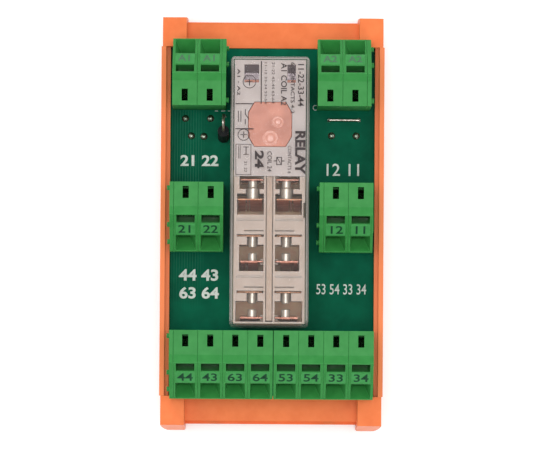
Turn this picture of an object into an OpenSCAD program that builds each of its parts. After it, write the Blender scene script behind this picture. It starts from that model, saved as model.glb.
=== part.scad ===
// Rail-mounted relay module: an extruded carrier with two footed end caps, a circuit board with
// spring-cage terminals, and a six-pole relay whose contacts are moved together by one comb.
// X runs across the mounting rail, Y along it, Z up from the surface that the feet stand on.

/* [Carrier] */
// Overall width across the rail
carrier_w = 46; // [45.6:0.1:50]
// Length of the extruded profile, along the rail
profile_len = 72; // [71.6:0.2:80]
// Height of the side walls over the standing surface
wall_top = 21; // [20:0.1:21.4]
// Thickness of the side wall above the board
wall_t = 1; // [0.8:0.05:1.1]
// Depth of the ledges that hold the edges of the board
ledge_w = 0.9; // [0.6:0.05:0.95]
// Height of the ledge above the board
upper_ledge_h = 2.8; // [1:0.1:3.4]
// Height of the ledge below the board
lower_ledge_h = 1.3; // [0.8:0.1:2]
// Thickness of the profile's floor
floor_t = 1.8; // [1.2:0.1:2.4]
// Gap between the rail seat and the profile's floor
floor_lift = 0.5; // [0.2:0.1:0.8]

/* [End caps] */
// How far the legs stand out beyond the profile
cap_len = 6; // [5.98:0.02:8]
// How far a leg stands out further at its foot than at its top
leg_draft = 1.4; // [0.8:0.1:1.8]
// How far the middle wall stands out beyond the profile
middle_len = 5.15; // [4.6:0.05:5.15]
// Depth of the lower step in front of the middle wall
step_len = 0.8; // [0.6:0.05:0.8]
// Height of the lower step over the rail seat
step_h = 3.4; // [3.3:0.1:5]
// Wall thickness of the moulded caps
cap_wall = 1.4; // [1:0.1:1.6]
// Radius of the outer corners
corner_r = 1.5; // [0.8:0.1:1.8]
// Radius of the inner corners of the legs
leg_edge_r = 0.5; // [0.2:0.1:0.8]

/* [Rail foot] */
// Width of the mounting rail that the feet take
rail_w = 35; // [34:0.1:36]
// Play between the rail and the legs, each side
rail_play = 0.35; // [0.2:0.05:0.6]
// Depth of the legs below the rail seat
foot_drop = 5; // [4.8:0.1:6]
// Thickness of the rail's flange, with its play
flange_t = 1.4; // [1.2:0.05:1.8]
// Height of a hook
hook_h = 2.2; // [1.6:0.1:2.6]
// Travel of the sliding latch
latch_travel = 2; // [1.8:0.1:2.2]
// Width of the sliding latch
latch_w = 3; // [2.8:0.1:3.1]
// Thickness of the sliding latch
latch_t = 2; // [1.8:0.05:2.05]
// Running gap all round the latch
latch_gap = 0.1; // [0.05:0.01:0.15]
// Length of the latch spring
spring_len = 6.1; // [5:0.1:7]
// Mean radius of the latch spring
spring_r = 0.78; // [0.6:0.01:0.8]
// Wire radius of the latch spring
spring_wire_r = 0.15; // [0.1:0.01:0.17]

/* [Board] */
// Thickness of the circuit board
board_t = 1.6; // [1.4:0.05:1.8]
// Height of the board's underside over the standing surface
board_z = 15; // [14.9:0.1:15.3]
// Length of the solder pins below the board
pin_out = 1.8; // [1.2:0.1:2]
// Width of the flat pins
pin_w = 0.8; // [0.6:0.05:0.9]
// Thickness of the flat pins
pin_t = 0.6; // [0.4:0.05:0.7]
// Radius of the round wires and leads
wire_r = 0.3; // [0.2:0.02:0.4]

/* [Terminals] */
// Distance from pole to pole
pole_pitch = 5.08; // [5:0.01:5.12]
// Depth of a terminal block, from its inner face to its outer face
block_len = 14; // [13.9:0.05:14.4]
// Height of the ridge over the board
ridge_h = 17.9; // [17.6:0.1:19]
// Distance of the ridge from the inner face
ridge_d = 6.6; // [6.4:0.05:6.8]
// Drop from the ridge to the flat inner top
ridge_drop = 0.6; // [0.2:0.05:0.9]
// Length of the flat inner top
flat_len = 5; // [4.6:0.1:5.4]
// Height of the undercut below the outer face
undercut_h = 4.9; // [4.7:0.1:5.4]
// Depth of the undercut
undercut_len = 2; // [2:0.05:2.2]
// Width of a test slot
test_slot_w = 1.25; // [1:0.05:1.6]
// Length of a test slot
test_slot_len = 2.45; // [2:0.05:2.8]
// Width of a screwdriver pocket
pocket_w = 3.75; // [3.4:0.05:3.9]
// Height of a screwdriver pocket along the slope
pocket_h = 2.1; // [1.8:0.05:2.2]
// Width of a conductor funnel
funnel_w = 4.1; // [3.6:0.05:4.4]
// Height of a conductor funnel along the slope
funnel_h = 4.4; // [4.1:0.05:4.6]
// Depth of a conductor funnel
funnel_len = 3; // [2.4:0.1:3.4]
// Half width of the square conductor hole behind the funnel
throat_half = 1.25; // [1:0.05:1.3]
// Thickness of the plates that close the open side of a block
flank_t = 0.75; // [0.6:0.05:0.9]
// Stand-out of the nubs on those plates
nub_len = 0.55; // [0.3:0.05:0.7]

/* [Relay] */
// Width of the relay cover
relay_w = 16.1; // [16:0.05:16.6]
// Length of the relay cover
relay_len = 55.2; // [55.1:0.05:55.4]
// Height of the relay over the board
relay_h = 16.8; // [16.7:0.05:17.4]
// Wall thickness of the clear cover
cover_t = 0.6; // [0.4:0.05:0.65]
// Radius of the cover's edges
cover_r = 1; // [0.7:0.05:1.2]
// Thickness of the relay's base plate
base_t = 2; // [1.6:0.05:2.1]
// Height of the feet under the base plate
base_foot_h = 0.3; // [0.2:0.05:0.4]

/* [Contacts] */
// Open gap of a normally open contact
contact_gap = 1.15; // [1.1:0.01:1.2]
// Radius of a moving contact's rivet
rivet_r = 0.92; // [0.7:0.02:0.94]
// Radius of a fixed contact's rivet in the open rows
fixed_rivet_r = 0.84; // [0.7:0.02:0.9]
// Length of a moving rivet
moving_rivet_len = 1.65; // [1.5:0.01:1.7]
// Length of a fixed rivet in the open rows
fixed_rivet_len = 2.15; // [2:0.01:2.2]
// Thickness of a moving blade
blade_t = 0.25; // [0.2:0.01:0.3]
// Thickness of a fixed blade
fixed_blade_t = 0.3; // [0.24:0.01:0.4]
// Half width of the comb's bar
comb_half = 0.6; // [0.5:0.01:0.62]
// Play between the comb's fingers and a blade, each side
finger_play = 0.12; // [0.1:0.01:0.14]
// Length of a comb finger
finger_len = 0.35; // [0.3:0.01:0.38]

/* [Coil] */
// Radius of the iron core
core_r = 2; // [1.6:0.05:2.05]
// Thickness of the bobbin's flanges
flange_wall = 1; // [0.8:0.05:1.1]
// Thickness of the armature plate
armature_t = 1.2; // [1:0.02:1.22]
// Width of the armature plate
armature_w = 10; // [8:0.1:11]

/* [Hidden] */

$fn = 32;
cut_over = 0.5;       // overrun of every cut beyond the face that it opens
seam = 0.05;          // gap between fixed pieces that lie beside each other

// Carrier, derived
half_w = carrier_w / 2;
profile_end = profile_len / 2;
seat_z = foot_drop;
profile_z = seat_z + floor_lift;
inner_x = half_w - wall_t;
ledge_x = inner_x - ledge_w;
board_top = board_z + board_t;
groove_gap = 0.1;
lower_ledge_top = board_z - groove_gap;
upper_ledge_z = board_top + groove_gap;
channel_r = 2;
channel_bore_r = 1.15;
channel_x = 12;
channel_lift = 5.6;
channel_z = seat_z + channel_lift;
channel_web_w = 1.4;

// End caps, derived
leg_x = rail_w / 2 + rail_play;
leg_inset = 0.25;
leg_out_x = half_w - leg_inset;
leg_w = leg_out_x - leg_x;
cap_end = profile_end + cap_len;
foot_end = cap_end + leg_draft;
lean_over = leg_draft * cut_over / wall_top;
middle_end = profile_end + middle_len;
step_end = middle_end + step_len;
middle_drop = 0.2;
middle_top = board_top - middle_drop;
hollow_lift = 4;
hollow_z = seat_z + hollow_lift;
screw_head_r = 1.9;
screw_head_h = 1.2;
screw_r = 1.1;
screw_len = 11;
screw_clear = 0.2;
boss_r = 2.6;
drive_w = 0.5;
drive_h = 0.7;

// Rail foot, derived; the latch lets the rail go when it has moved by its whole travel
release_play = 0.35;
hook_reach = latch_travel - release_play;
hook_top = seat_z - flange_t;
hook_z = hook_top - hook_h;
hook_slope = 1.2;
latch_inset = 2.8;
latch_y = profile_end + latch_inset;
slide_lift = 1.1;
slide_z = seat_z + slide_lift;
latch_in_x = 3;
latch_back = 0.2;
latch_out_x = leg_out_x - latch_back;
latch_body_share = 0.133;
latch_body_x = leg_x + leg_w * latch_body_share;
window_x = 6;
window_w = 2.1;
post_len = 1;
post_x = window_x + spring_len + latch_gap + seam;
window_len = post_x + post_len + latch_back - window_x;
drive_slot_share = 0.245;
drive_slot = leg_w * drive_slot_share;
drive_slot_lift = 3;
drive_slot_z = hook_z + drive_slot_lift;
spring_turns = 6;
spring_sides = 6;
spring_steps = 12;

// Board, derived
board_side_gap = 0.2;
board_end_gap = 0.1;
board_half_w = inner_x - board_side_gap;
board_half_len = profile_end - board_end_gap;
pin_hole_r = 0.62;
wire_hole_r = 0.42;
pin_z = board_z - pin_out;
solder_r = 1;
solder_tip_r = 0.6;
solder_h = 0.9;
dot_r = 0.75;
dot_h = 0.35;

// Terminals, derived; d runs from the inner face outwards, h up from the board
slope_len = (block_len - ridge_d) * sqrt(2);
face_h = ridge_h - (block_len - ridge_d);
pocket_inset = 0.3;
pocket_lean = 25;     // turn of the pocket from the slope's normal towards the vertical
funnel_inset = 0.15;
label_w = 3.9;
label_proud = 0.1;
cell_wall = 0.69;
cavity_w = pole_pitch - cell_wall * 2;
cavity_d = 1.2;
cavity_roof = 4.9;
cavity_top = ridge_h - cavity_roof;
cavity_wall = 1;
cavity_depth = 4;
test_slot_d = 0.875;
line_w = 0.12;
line_depth = 0.25;
throat_shift = 0.4;    // the hole lies beside the middle of the funnel
// The clamp frame: a runs in along the conductor, b up the slope, from the funnel's centre
funnel_s = slope_len - funnel_inset - funnel_h / 2;
funnel_d = ridge_d + funnel_s / sqrt(2);
funnel_z = ridge_h - funnel_s / sqrt(2);
pocket_b = funnel_s - pocket_inset - pocket_h / 2;
bar_t = 0.8;
bar_half_w = 1;
bar_rise = 0.2;
bar_b = throat_half + bar_rise;
bar_start = 4.4;
bar_end = 10.3;
bar_foot_d = 3.45;
bar_foot_drop = 11.7;
bar_foot_top = ridge_h - bar_foot_drop;
cage_t = 0.3;
cage_r = 1.3;
cage_gap = 0.23;
cage_side_gap = 0.25;
cage_half_w = cavity_w / 2 - cage_side_gap;
cage_rail = 0.45;
cage_window_half = cage_half_w - cage_rail;
cage_a = 5.6;
cage_b = bar_b + bar_t + cage_gap + cage_t / 2 + cage_r;
cage_leg_len = 3.7;
cage_leg_a = cage_a + cage_leg_len;
cage_rest = 0.03;
cage_lip = 0.7;
cage_window_over = 0.12;
cage_window_b = bar_b - cage_rest;
cage_window_len = cage_b + cage_window_over - cage_window_b;
nub_r = 0.5;
// Nubs of an end plate: share of the block's depth, and share of the ridge's height
nub_shares = [[0.0845, 0.838], [0.6127, 0.7263], [0.8592, 0.5698]];
bump_len = 3.3;
bump_t = 0.2;
bump_h = 6;

// Rows of blocks: inner face, and the way that their funnels look
rear_overhang = 1.15;
rear_row_y = profile_end + rear_overhang - block_len;
middle_row_share = 0.21;
middle_row_y = profile_end * middle_row_share;
front_overhang = 0.55;
front_row_y = -(profile_end + front_overhang - block_len);
coil_left_gap = 0.62;
coil_right_gap = 1.82;
contact_left_gap = 0.97;
contact_right_gap = 0.57;
front_left_gap = 1.09;
front_right_gap = 0.31;
// Each block: left edge, inner face, outward direction, poles, flank side (-1 left, 1 right, 0 none)
BLOCKS = [
    [-ledge_x + coil_left_gap, rear_row_y, 1, 2, 1],
    [ledge_x - coil_right_gap - 2 * pole_pitch, rear_row_y, 1, 2, 1],
    [-ledge_x + contact_left_gap, middle_row_y, -1, 2, -1],
    [ledge_x - contact_right_gap - 2 * pole_pitch, middle_row_y, -1, 2, -1],
    [-ledge_x + front_left_gap, front_row_y, -1, 4, -1],
    [ledge_x - front_right_gap - 4 * pole_pitch, front_row_y, -1, 4, 0]
];
// Each pole: its block and its place in the block
POLES = [for (b = [0 : len(BLOCKS) - 1]) for (i = [0 : BLOCKS[b][3] - 1]) [b, i]];

// Relay, derived; its own origin is the middle of the cover, on the board's plane in X and Y
relay_gap = 0.55;
relay_x = -0.55;
relay_y = front_row_y + relay_gap + relay_len / 2;
relay_top = board_top + relay_h;
base_z = board_top + base_foot_h;
base_top = base_z + base_t;
base_foot_w = 3;
cover_gap = 0.05;
cover_lift = 0.5;
cover_z = board_top + cover_lift;
cover_in_w = relay_w / 2 - cover_t;
cover_in_len = relay_len / 2 - cover_t;
roof_extra = 0.1;
cover_roof_t = cover_t + roof_extra;
cover_in_top = relay_top - cover_roof_t;
housing_side_gap = 0.2;
housing_half_w = cover_in_w - housing_side_gap;
housing_top_gap = 0.3;
housing_top = cover_in_top - housing_top_gap;
housing_front_gap = 0.25;
housing_front = -cover_in_len + housing_front_gap;
housing_share = 0.577;
housing_len = relay_len * housing_share;
housing_rear = housing_front + housing_len;
stack_h = housing_top - base_top;
front_wall_t = 0.4;
rear_wall_t = 0.5;
comb_play = 0.15;
rib_in_x = comb_half + comb_play;
rib_t = 0.4;
rib_out_x = rib_in_x + rib_t;
// Outer walls of the chambers, shares of the housing's half width, for the middle, front and closed rows
middle_out_share = 0.846;
front_out_share = 0.938;
break_out_share = 0.911;
middle_out_x = housing_half_w * middle_out_share;
front_out_x = housing_half_w * front_out_share;
break_out_x = housing_half_w * break_out_share;
column_share = 0.473;
column_x = housing_half_w * column_share;
blade_in_x = 1.3;
blade_out_share = 0.814;
blade_out_x = housing_half_w * blade_out_share;
fixed_blade_in_x = 1.45;
fixed_out_share = 0.903;
fixed_blade_out_x = housing_half_w * fixed_out_share;
blade_lift = 0.5;
blade_z = base_top + blade_lift;
blade_top_share = 0.7926;
blade_top = base_top + stack_h * blade_top_share;
rivet_share = 0.6;
rivet_z = base_top + stack_h * rivet_share;
bead_r = 0.2;
// Fixed blades of the open rows, then of the closed row, at shares of the housing's length
front_row_share = 0.2019;
row_pitch_share = 0.3601;
break_row_share = 0.7959;
make_front_y = housing_front + housing_len * front_row_share;
make_fixed = [make_front_y + housing_len * row_pitch_share, make_front_y];
break_fixed = housing_front + housing_len * break_row_share;
break_rivet_len = 2.25;
break_rivet_r = 1.2;
break_moving_rivet_len = 1.45;
closed_gap = 0.03;
rivet_bevel = 0.15;
make_moving = [for (y = make_fixed)
    y - fixed_blade_t / 2 - fixed_rivet_len - contact_gap - moving_rivet_len - blade_t / 2];
break_moving = break_fixed + fixed_blade_t / 2 + break_rivet_len + closed_gap
    + break_moving_rivet_len + blade_t / 2;
slot_half = 0.25;
notch_gap = 0.2;
notch_wall_t = 1.6;
break_notch_wall_t = 0.9;
chamber_len = 5.4;
break_front_len = 3.2;
break_wall_gap = 1.1;
line_slot_gap = 0.85;
line_slot_w = 0.25;
line_slot_depth = 1;
line_slot_share = 0.7;
line_slot_x = housing_half_w * line_slot_share;
side_notch_depth = 0.35;
side_notch_len = 3.1;
side_notch_back = 3.8;
side_notch_y = break_fixed - side_notch_back;
contact_pin_share = 0.69;
contact_pin_x = housing_half_w * contact_pin_share;
root_half_len = 0.5;

// Comb and armature, derived
comb_share = 0.8222;
comb_z = base_top + stack_h * comb_share;
comb_h = 1.3;
arm_share = 0.6667;
arm_z = base_top + stack_h * arm_share;
arm_h = 1;
arm_out_x = 1.8;
contact_rest = 0.145;
comb_travel = (contact_gap - contact_rest) * (arm_z + arm_h / 2 - blade_z) / (rivet_z - blade_z);
arm_half = blade_t / 2 + finger_play + finger_len;
comb_front = make_moving[1] - arm_half;
channel_drop = 0.4;
channel_floor = arm_z - channel_drop;
window_play = 0.15;
armature_gap = 0.6;
armature_y = housing_rear + armature_gap + armature_t / 2;
yoke_lift = 0.15;
yoke_z = base_top + yoke_lift;
yoke_t = 1.35;
pivot_z = yoke_z + yoke_t + seam + armature_t / 2;
armature_top = blade_top;
tongue_half_w = 1.15;
tongue_drop = 0.1;
tongue_top = comb_z + comb_h - tongue_drop;
head_half_w = 2.2;
head_slot_gap = 0.15;
head_web = 0.4;

// Coil, derived
coil_share = 0.526;
coil_z = base_top + stack_h * coil_share;
winding_share = 0.37;
winding_r = stack_h * winding_share;
yoke_share = 0.759;
yoke_half_w = housing_half_w * yoke_share;
yoke_gap = 0.3;
yoke_front = housing_rear + yoke_gap;
pole_gap = 0.93;
pole_y = armature_y + armature_t / 2 + pole_gap;
pole_stand = 0.25;
bobbin_y = pole_y + pole_stand;
lid_t = 0.8;
lid_z = housing_top - lid_t;
lid_overlap = 1.85;
lid_front = housing_rear - lid_overlap;
lid_rear_gap = 0.1;
lid_rear = cover_in_len - lid_rear_gap;
coil_room = 4;
bobbin_end = lid_rear - coil_room;
yoke_rear = bobbin_end + seam + yoke_t;
flange_share = 0.91;
flange_half_w = housing_half_w * flange_share;
flange_gap = 0.1;
flange_z = yoke_z + yoke_t + flange_gap;
flange_rim = 0.4;
flange_top = coil_z + winding_r + flange_rim;
core_play = 0.1;
bobbin_bore_r = core_r + core_play;
bobbin_tube_t = 0.5;
bobbin_tube_r = bobbin_bore_r + bobbin_tube_t;
winding_bore_r = bobbin_tube_r + core_play;
spigot_r = 1.5;
skirt_t = 0.4;
skirt_lift = 0.8;
skirt_z = base_top + skirt_lift;
// Openings in the lid, in shares of the housing's half width
lid_slot_shares = [[-0.731, -0.317], [0.476, 0.717]];
lid_slot_back = 4.6;
lid_slot_front = lid_rear - lid_slot_back;
lid_slot_len = 3.7;
pad_half_w = 4.4;
pad_half_len = 4.5;
pad_cut_x = 1.25;
pad_cut_y = 2.1;
pad_share = 0.25;
pad_y = relay_len * pad_share;
pad_gap = 0.1;
bridge_half_w = 3.5;
bridge_t = 0.4;
coil_pin_share = 0.841;
coil_pin_x = housing_half_w * coil_pin_share;

// Diode and wire link; places on the board are shares of the ledge's X and of the profile's end
diode_shares = [-0.48, 0.4847];
diode_x = ledge_x * diode_shares[0];
diode_y = profile_end * diode_shares[1];
diode_r = 1.17;
diode_len = 5.2;
diode_lean = 12;
diode_lift = 0.5;
lead_share = 0.606;
lead_far_y = profile_end * lead_share;
lead_rise = 0.7;
lead_sides = 8;
lead_steps = 12;
link_y_share = 0.5889;
link_y = profile_end * link_y_share;
link_shares = [0.5569, 0.846];
link_x = [for (s = link_shares) ledge_x * s];
link_lift = 0.15;
dot_shares = [
    [-0.8555, 0.5931], [-0.609, 0.5944], [-0.7962, 0.4931],
    [-0.673, 0.4903], [0.5782, 0.4986], [0.8199, 0.4986]
];
dot_places = [for (s = dot_shares) [ledge_x * s[0], profile_end * s[1]]];

// Ring of points round one point of a route that lies in a plane of X = 0 or bends freely
function unit(v) = v / norm(v);
function along(p, i) = unit(p[min(i + 1, len(p) - 1)] - p[max(i - 1, 0)]);
function ring(c, t, side, r, n) =
    let (u = unit(cross(t, side)), w = cross(t, u))
    [for (k = [0 : n - 1]) c + r * (cos(360 * k / n) * u + sin(360 * k / n) * w)];

// Tube of n sides and radius r along the points p; side is a direction that no stretch follows
module tube(p, side, r, n) {
    m = len(p);
    rings = [for (i = [0 : m - 1]) each ring(p[i], along(p, i), side, r, n)];
    walls = [for (i = [0 : m - 2]) for (k = [0 : n - 1]) each
        let (a = i * n + k, b = i * n + (k + 1) % n)
        [[a, a + n, b], [b, a + n, b + n]]];
    near_cap = [[for (k = [0 : n - 1]) k]];
    far_cap = [[for (k = [0 : n - 1]) m * n - 1 - k]];
    polyhedron(rings, concat(walls, near_cap, far_cap), convexity = 4);
}

// Box from its low corner to its high corner
module box(low, high) {
    translate(low) cube(high - low);
}

// Extrudes a shape drawn in Y and Z along X, centred on X = 0
module across(w) {
    translate([-w / 2, 0, 0]) rotate([90, 0, 90]) linear_extrude(w) children();
}

// Mirrors what is made for the right side of the relay to the left one
module side(s) {
    mirror([s < 0 ? 1 : 0, 0, 0]) children();
}

// Places what is made for the rear cap, mirrored for the front one
module at_cap(front) {
    mirror([0, front ? 1 : 0, 0]) children();
}

module at_relay() {
    translate([relay_x, relay_y, 0]) children();
}

// Frame of a block: x from its left edge, y from its inner face outwards, z from the board
module at_block(b) {
    translate([BLOCKS[b][0], BLOCKS[b][1], board_top])
        mirror([0, BLOCKS[b][2] < 0 ? 1 : 0, 0]) children();
}

module at_pole(p) {
    at_block(POLES[p][0]) translate([(POLES[p][1] + 0.5) * pole_pitch, 0, 0]) children();
}

// The 2-D clamp frame, drawn in the block's Y and Z: a becomes the way in, b the way up the slope
module clamp_frame() {
    translate([funnel_d, funnel_z]) rotate(-135) mirror([0, 1]) children();
}

module carrier_section() {
    difference() {
        union() {
            translate([-half_w, profile_z]) square([carrier_w, floor_t]);
            for (s = [-1, 1]) mirror([s < 0 ? 1 : 0, 0]) {
                translate([inner_x, profile_z]) square([wall_t, wall_top - profile_z]);
                translate([ledge_x, lower_ledge_top - lower_ledge_h])
                    square([half_w - ledge_x, lower_ledge_h]);
                translate([ledge_x, upper_ledge_z]) square([half_w - ledge_x, upper_ledge_h]);
                translate([channel_x, channel_z]) circle(channel_r);
                translate([channel_x - channel_web_w / 2, profile_z])
                    square([channel_web_w, channel_z - profile_z]);
            }
        }
        for (s = [-1, 1]) translate([s * channel_x, channel_z]) circle(channel_bore_r);
    }
}

module carrier_profile() {
    color("darkorange")
        translate([0, profile_end, 0]) rotate([90, 0, 0]) linear_extrude(profile_len) carrier_section();
}

// Plan of the right leg, which ends at y
module leg_outline(y) {
    difference() {
        translate([leg_x, profile_end]) square([leg_w, y - profile_end]);
        translate([leg_out_x - corner_r, y - corner_r]) square(corner_r + cut_over);
        translate([leg_x - cut_over, y - leg_edge_r]) square(leg_edge_r + cut_over);
    }
    translate([leg_out_x - corner_r, y - corner_r]) circle(corner_r);
    translate([leg_x + leg_edge_r, y - leg_edge_r]) circle(leg_edge_r);
}

// The end face of a leg leans out towards its foot
module leg() {
    intersection() {
        linear_extrude(wall_top) leg_outline(foot_end + seam);
        translate([leg_x - cut_over, 0, 0]) rotate([90, 0, 90]) linear_extrude(leg_w + cut_over * 2)
            polygon([
                [profile_end - cut_over, -cut_over], [foot_end + lean_over, -cut_over],
                [cap_end - lean_over, wall_top + cut_over], [profile_end - cut_over, wall_top + cut_over]
            ]);
    }
}

module cap_shell() {
    difference() {
        union() {
            box([-leg_x - seam, profile_end, seat_z], [leg_x + seam, middle_end, middle_top]);
            box([-leg_x - seam, profile_end, seat_z], [leg_x + seam, step_end, seat_z + step_h]);
            for (s = [-1, 1]) side(s) leg();
        }
        box([-leg_x + cap_wall, profile_end - cut_over, hollow_z],
            [leg_x - cap_wall, middle_end - cap_wall, middle_top - cap_wall]);
        for (s = [-1, 1]) side(s)
            box([leg_x + cap_wall, profile_end - cut_over, hollow_z],
                [leg_out_x - cap_wall, cap_end - cap_wall, wall_top - cap_wall]);
    }
    for (s = [-1, 1]) translate([s * channel_x, profile_end, channel_z])
        rotate([-90, 0, 0]) cylinder(h = middle_len, r = boss_r);
    hook();
}

// The fixed hook, on the left leg
module hook() {
    translate([-leg_x - cut_over, latch_y + latch_w / 2, 0]) rotate([90, 0, 0]) linear_extrude(latch_w)
        polygon([
            [0, hook_z], [cut_over + hook_reach - hook_slope, hook_z],
            [cut_over + hook_reach, hook_z + hook_slope],
            [cut_over + hook_reach, hook_top], [0, hook_top]
        ]);
}

module latch_channel() {
    gap_w = latch_w / 2 + latch_gap;
    difference() {
        box([latch_in_x - latch_gap, latch_y - gap_w, slide_z - latch_gap],
            [half_w + cut_over, latch_y + gap_w, slide_z + latch_t + latch_gap]);
        box([post_x, latch_y - window_w / 2 + latch_gap, seat_z],
            [post_x + post_len, latch_y + window_w / 2 - latch_gap, slide_z + latch_t + cut_over]);
    }
    box([latch_body_x - latch_gap, latch_y - gap_w, hook_z - latch_gap],
        [half_w + cut_over, latch_y + gap_w, slide_z + latch_t + latch_gap]);
    box([leg_x - cut_over, latch_y - gap_w, hook_z - latch_gap],
        [half_w, latch_y + gap_w, hook_top + latch_gap]);
}

module end_cap(front) {
    color("darkorange") at_cap(front) difference() {
        cap_shell();
        latch_channel();
        for (s = [-1, 1]) translate([s * channel_x, profile_end, channel_z]) rotate([-90, 0, 0]) {
            translate([0, 0, -cut_over]) cylinder(h = middle_len, r = screw_r + screw_clear);
            translate([0, 0, middle_len - screw_head_h])
                cylinder(h = screw_head_h + step_len + cut_over, r = screw_head_r + screw_clear);
        }
    }
}

module rail_latch(front) {
    color("darkorange") at_cap(front) difference() {
        translate([0, latch_y + latch_w / 2, 0]) rotate([90, 0, 0]) linear_extrude(latch_w) polygon([
            [latch_in_x, slide_z], [latch_body_x, slide_z], [latch_body_x, hook_top],
            [leg_x - hook_reach, hook_top], [leg_x - hook_reach, hook_z + hook_slope],
            [leg_x - hook_reach + hook_slope, hook_z], [latch_out_x, hook_z],
            [latch_out_x, slide_z + latch_t], [latch_in_x, slide_z + latch_t]
        ]);
        box([window_x, latch_y - window_w / 2, slide_z - cut_over],
            [window_x + window_len, latch_y + window_w / 2, slide_z + latch_t + cut_over]);
        box([latch_out_x - drive_slot, latch_y - latch_w, drive_slot_z],
            [latch_out_x + cut_over, latch_y + latch_w, drive_slot_z + drive_slot]);
    }
}

function spring_points() = [for (i = [0 : spring_turns * spring_steps])
    let (t = i / spring_steps, lead = spring_wire_r + (spring_len - spring_wire_r * 2) * t / spring_turns)
    [lead, spring_r * cos(360 * t), spring_r * sin(360 * t)]];

echo(latch_spring_gap = (spring_len - spring_wire_r * 2) / spring_turns - spring_wire_r * 2);

module latch_spring(front) {
    color("silver") at_cap(front) translate([window_x + seam, latch_y, slide_z + latch_t / 2])
        tube(spring_points(), [1, 0, 0], spring_wire_r, spring_sides);
}

module cap_screw() {
    difference() {
        union() {
            translate([0, 0, -screw_len]) cylinder(h = screw_len, r = screw_r);
            cylinder(h = screw_head_h, r = screw_head_r);
        }
        for (turn = [0, 90]) rotate(turn)
            translate([-screw_r, -drive_w / 2, screw_head_h - drive_h])
                cube([screw_r * 2, drive_w, drive_h + cut_over]);
    }
}

module cap_screws() {
    color("silver") for (front = [false, true], s = [-1, 1]) at_cap(front)
        translate([s * channel_x, middle_end - screw_head_h, channel_z]) rotate([-90, 0, 0]) cap_screw();
}

// Places of the flat pins through the board, in X and Y
function pole_pin(p) = let (b = BLOCKS[POLES[p][0]])
    [b[0] + (POLES[p][1] + 0.5) * pole_pitch, b[1] + b[2] * (bar_foot_d + bar_t / 2)];
contact_rows = concat(make_fixed, [break_fixed], make_moving, [break_moving]);
flat_pins = concat(
    [for (p = [0 : len(POLES) - 1]) pole_pin(p)],
    [for (s = [-1, 1]) for (y = contact_rows) [relay_x + s * contact_pin_x, relay_y + y]],
    [for (s = [-1, 1]) [relay_x + s * coil_pin_x, relay_y + bobbin_end - flange_wall - pin_t / 2]]
);
wire_pins = [[diode_x, diode_y], [diode_x, lead_far_y], [link_x[0], link_y], [link_x[1], link_y]];

module circuit_board() {
    color("darkgreen") difference() {
        box([-board_half_w, -board_half_len, board_z], [board_half_w, board_half_len, board_top]);
        for (p = flat_pins) translate([p[0], p[1], board_z - cut_over])
            cylinder(h = board_t + cut_over * 2, r = pin_hole_r);
        for (p = wire_pins) translate([p[0], p[1], board_z - cut_over])
            cylinder(h = board_t + cut_over * 2, r = wire_hole_r);
    }
}

module solder_cone() {
    translate([0, 0, board_z - solder_h]) cylinder(h = solder_h, r1 = solder_tip_r, r2 = solder_r);
}

module solder_joints() {
    color("silver") {
        for (p = flat_pins) translate([p[0], p[1], 0]) difference() {
            solder_cone();
            box([-pin_w / 2, -pin_t / 2, pin_z], [pin_w / 2, pin_t / 2, board_top]);
        }
        for (p = wire_pins) translate([p[0], p[1], 0]) difference() {
            solder_cone();
            translate([0, 0, pin_z]) cylinder(h = pin_out + board_t, r = wire_r);
        }
        for (p = dot_places) translate([p[0], p[1], board_top]) solder_dot();
    }
}

module solder_dot() {
    dome_r = (dot_r * dot_r + dot_h * dot_h) / (2 * dot_h);
    intersection() {
        translate([0, 0, dot_h - dome_r]) sphere(dome_r);
        cylinder(h = dot_h * 2, r = dot_r * 2);
    }
}

module wire_link() {
    z = board_top + link_lift + wire_r;
    color("silver") {
        translate([link_x[0], link_y, z]) rotate([0, 90, 0]) cylinder(h = link_x[1] - link_x[0], r = wire_r);
        for (x = link_x) {
            translate([x, link_y, pin_z]) cylinder(h = z - pin_z, r = wire_r);
            translate([x, link_y, z]) sphere(wire_r);
        }
    }
}

diode_z = board_top + diode_lift;

module diode_body() {
    color("black") translate([diode_x, diode_y, diode_z]) rotate([-diode_lean, 0, 0])
        cylinder(h = diode_len, r = diode_r);
}

// The upper lead leaves the body along its lean, turns over in an arc and goes down into the board
module diode_leads() {
    top_y = diode_y + diode_len * sin(diode_lean);
    top_z = diode_z + diode_len * cos(diode_lean);
    start = [diode_x, top_y + lead_rise * sin(diode_lean), top_z + lead_rise * cos(diode_lean)];
    turn = 180 - diode_lean;
    bend_r = (lead_far_y - start[1]) / (1 + cos(diode_lean));
    arc = [for (i = [0 : lead_steps])
        let (t = 180 - diode_lean - turn * i / lead_steps)
        [diode_x, lead_far_y - bend_r + bend_r * cos(t),
            start[2] + bend_r * (sin(t) - sin(diode_lean))]];
    color("silver") {
        tube(concat([[diode_x, top_y, top_z]], arc, [[diode_x, lead_far_y, pin_z]]),
            [1, 0, 0], wire_r, lead_sides);
        translate([diode_x, diode_y, pin_z])
            cylinder(h = diode_z - pin_z - diode_r * sin(diode_lean) - seam, r = wire_r);
    }
}

// Side view of a terminal block, drawn inset by g on its top and its slope
function block_outline(g) = [
    [0, 0], [0, ridge_h - ridge_drop - g], [flat_len, ridge_h - ridge_drop - g],
    [ridge_d, ridge_h - g], [block_len, face_h - g],
    [block_len, undercut_h], [block_len - undercut_len, undercut_h], [block_len - undercut_len, 0]
];

module cavity_outline() {
    reach = ridge_h + ridge_d - cavity_depth * sqrt(2);
    wall = block_len - undercut_len - cavity_wall;
    polygon([
        [cavity_d, -cut_over], [cavity_d, cavity_top], [reach - cavity_top, cavity_top],
        [wall, reach - wall], [wall, -cut_over]
    ]);
}

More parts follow.
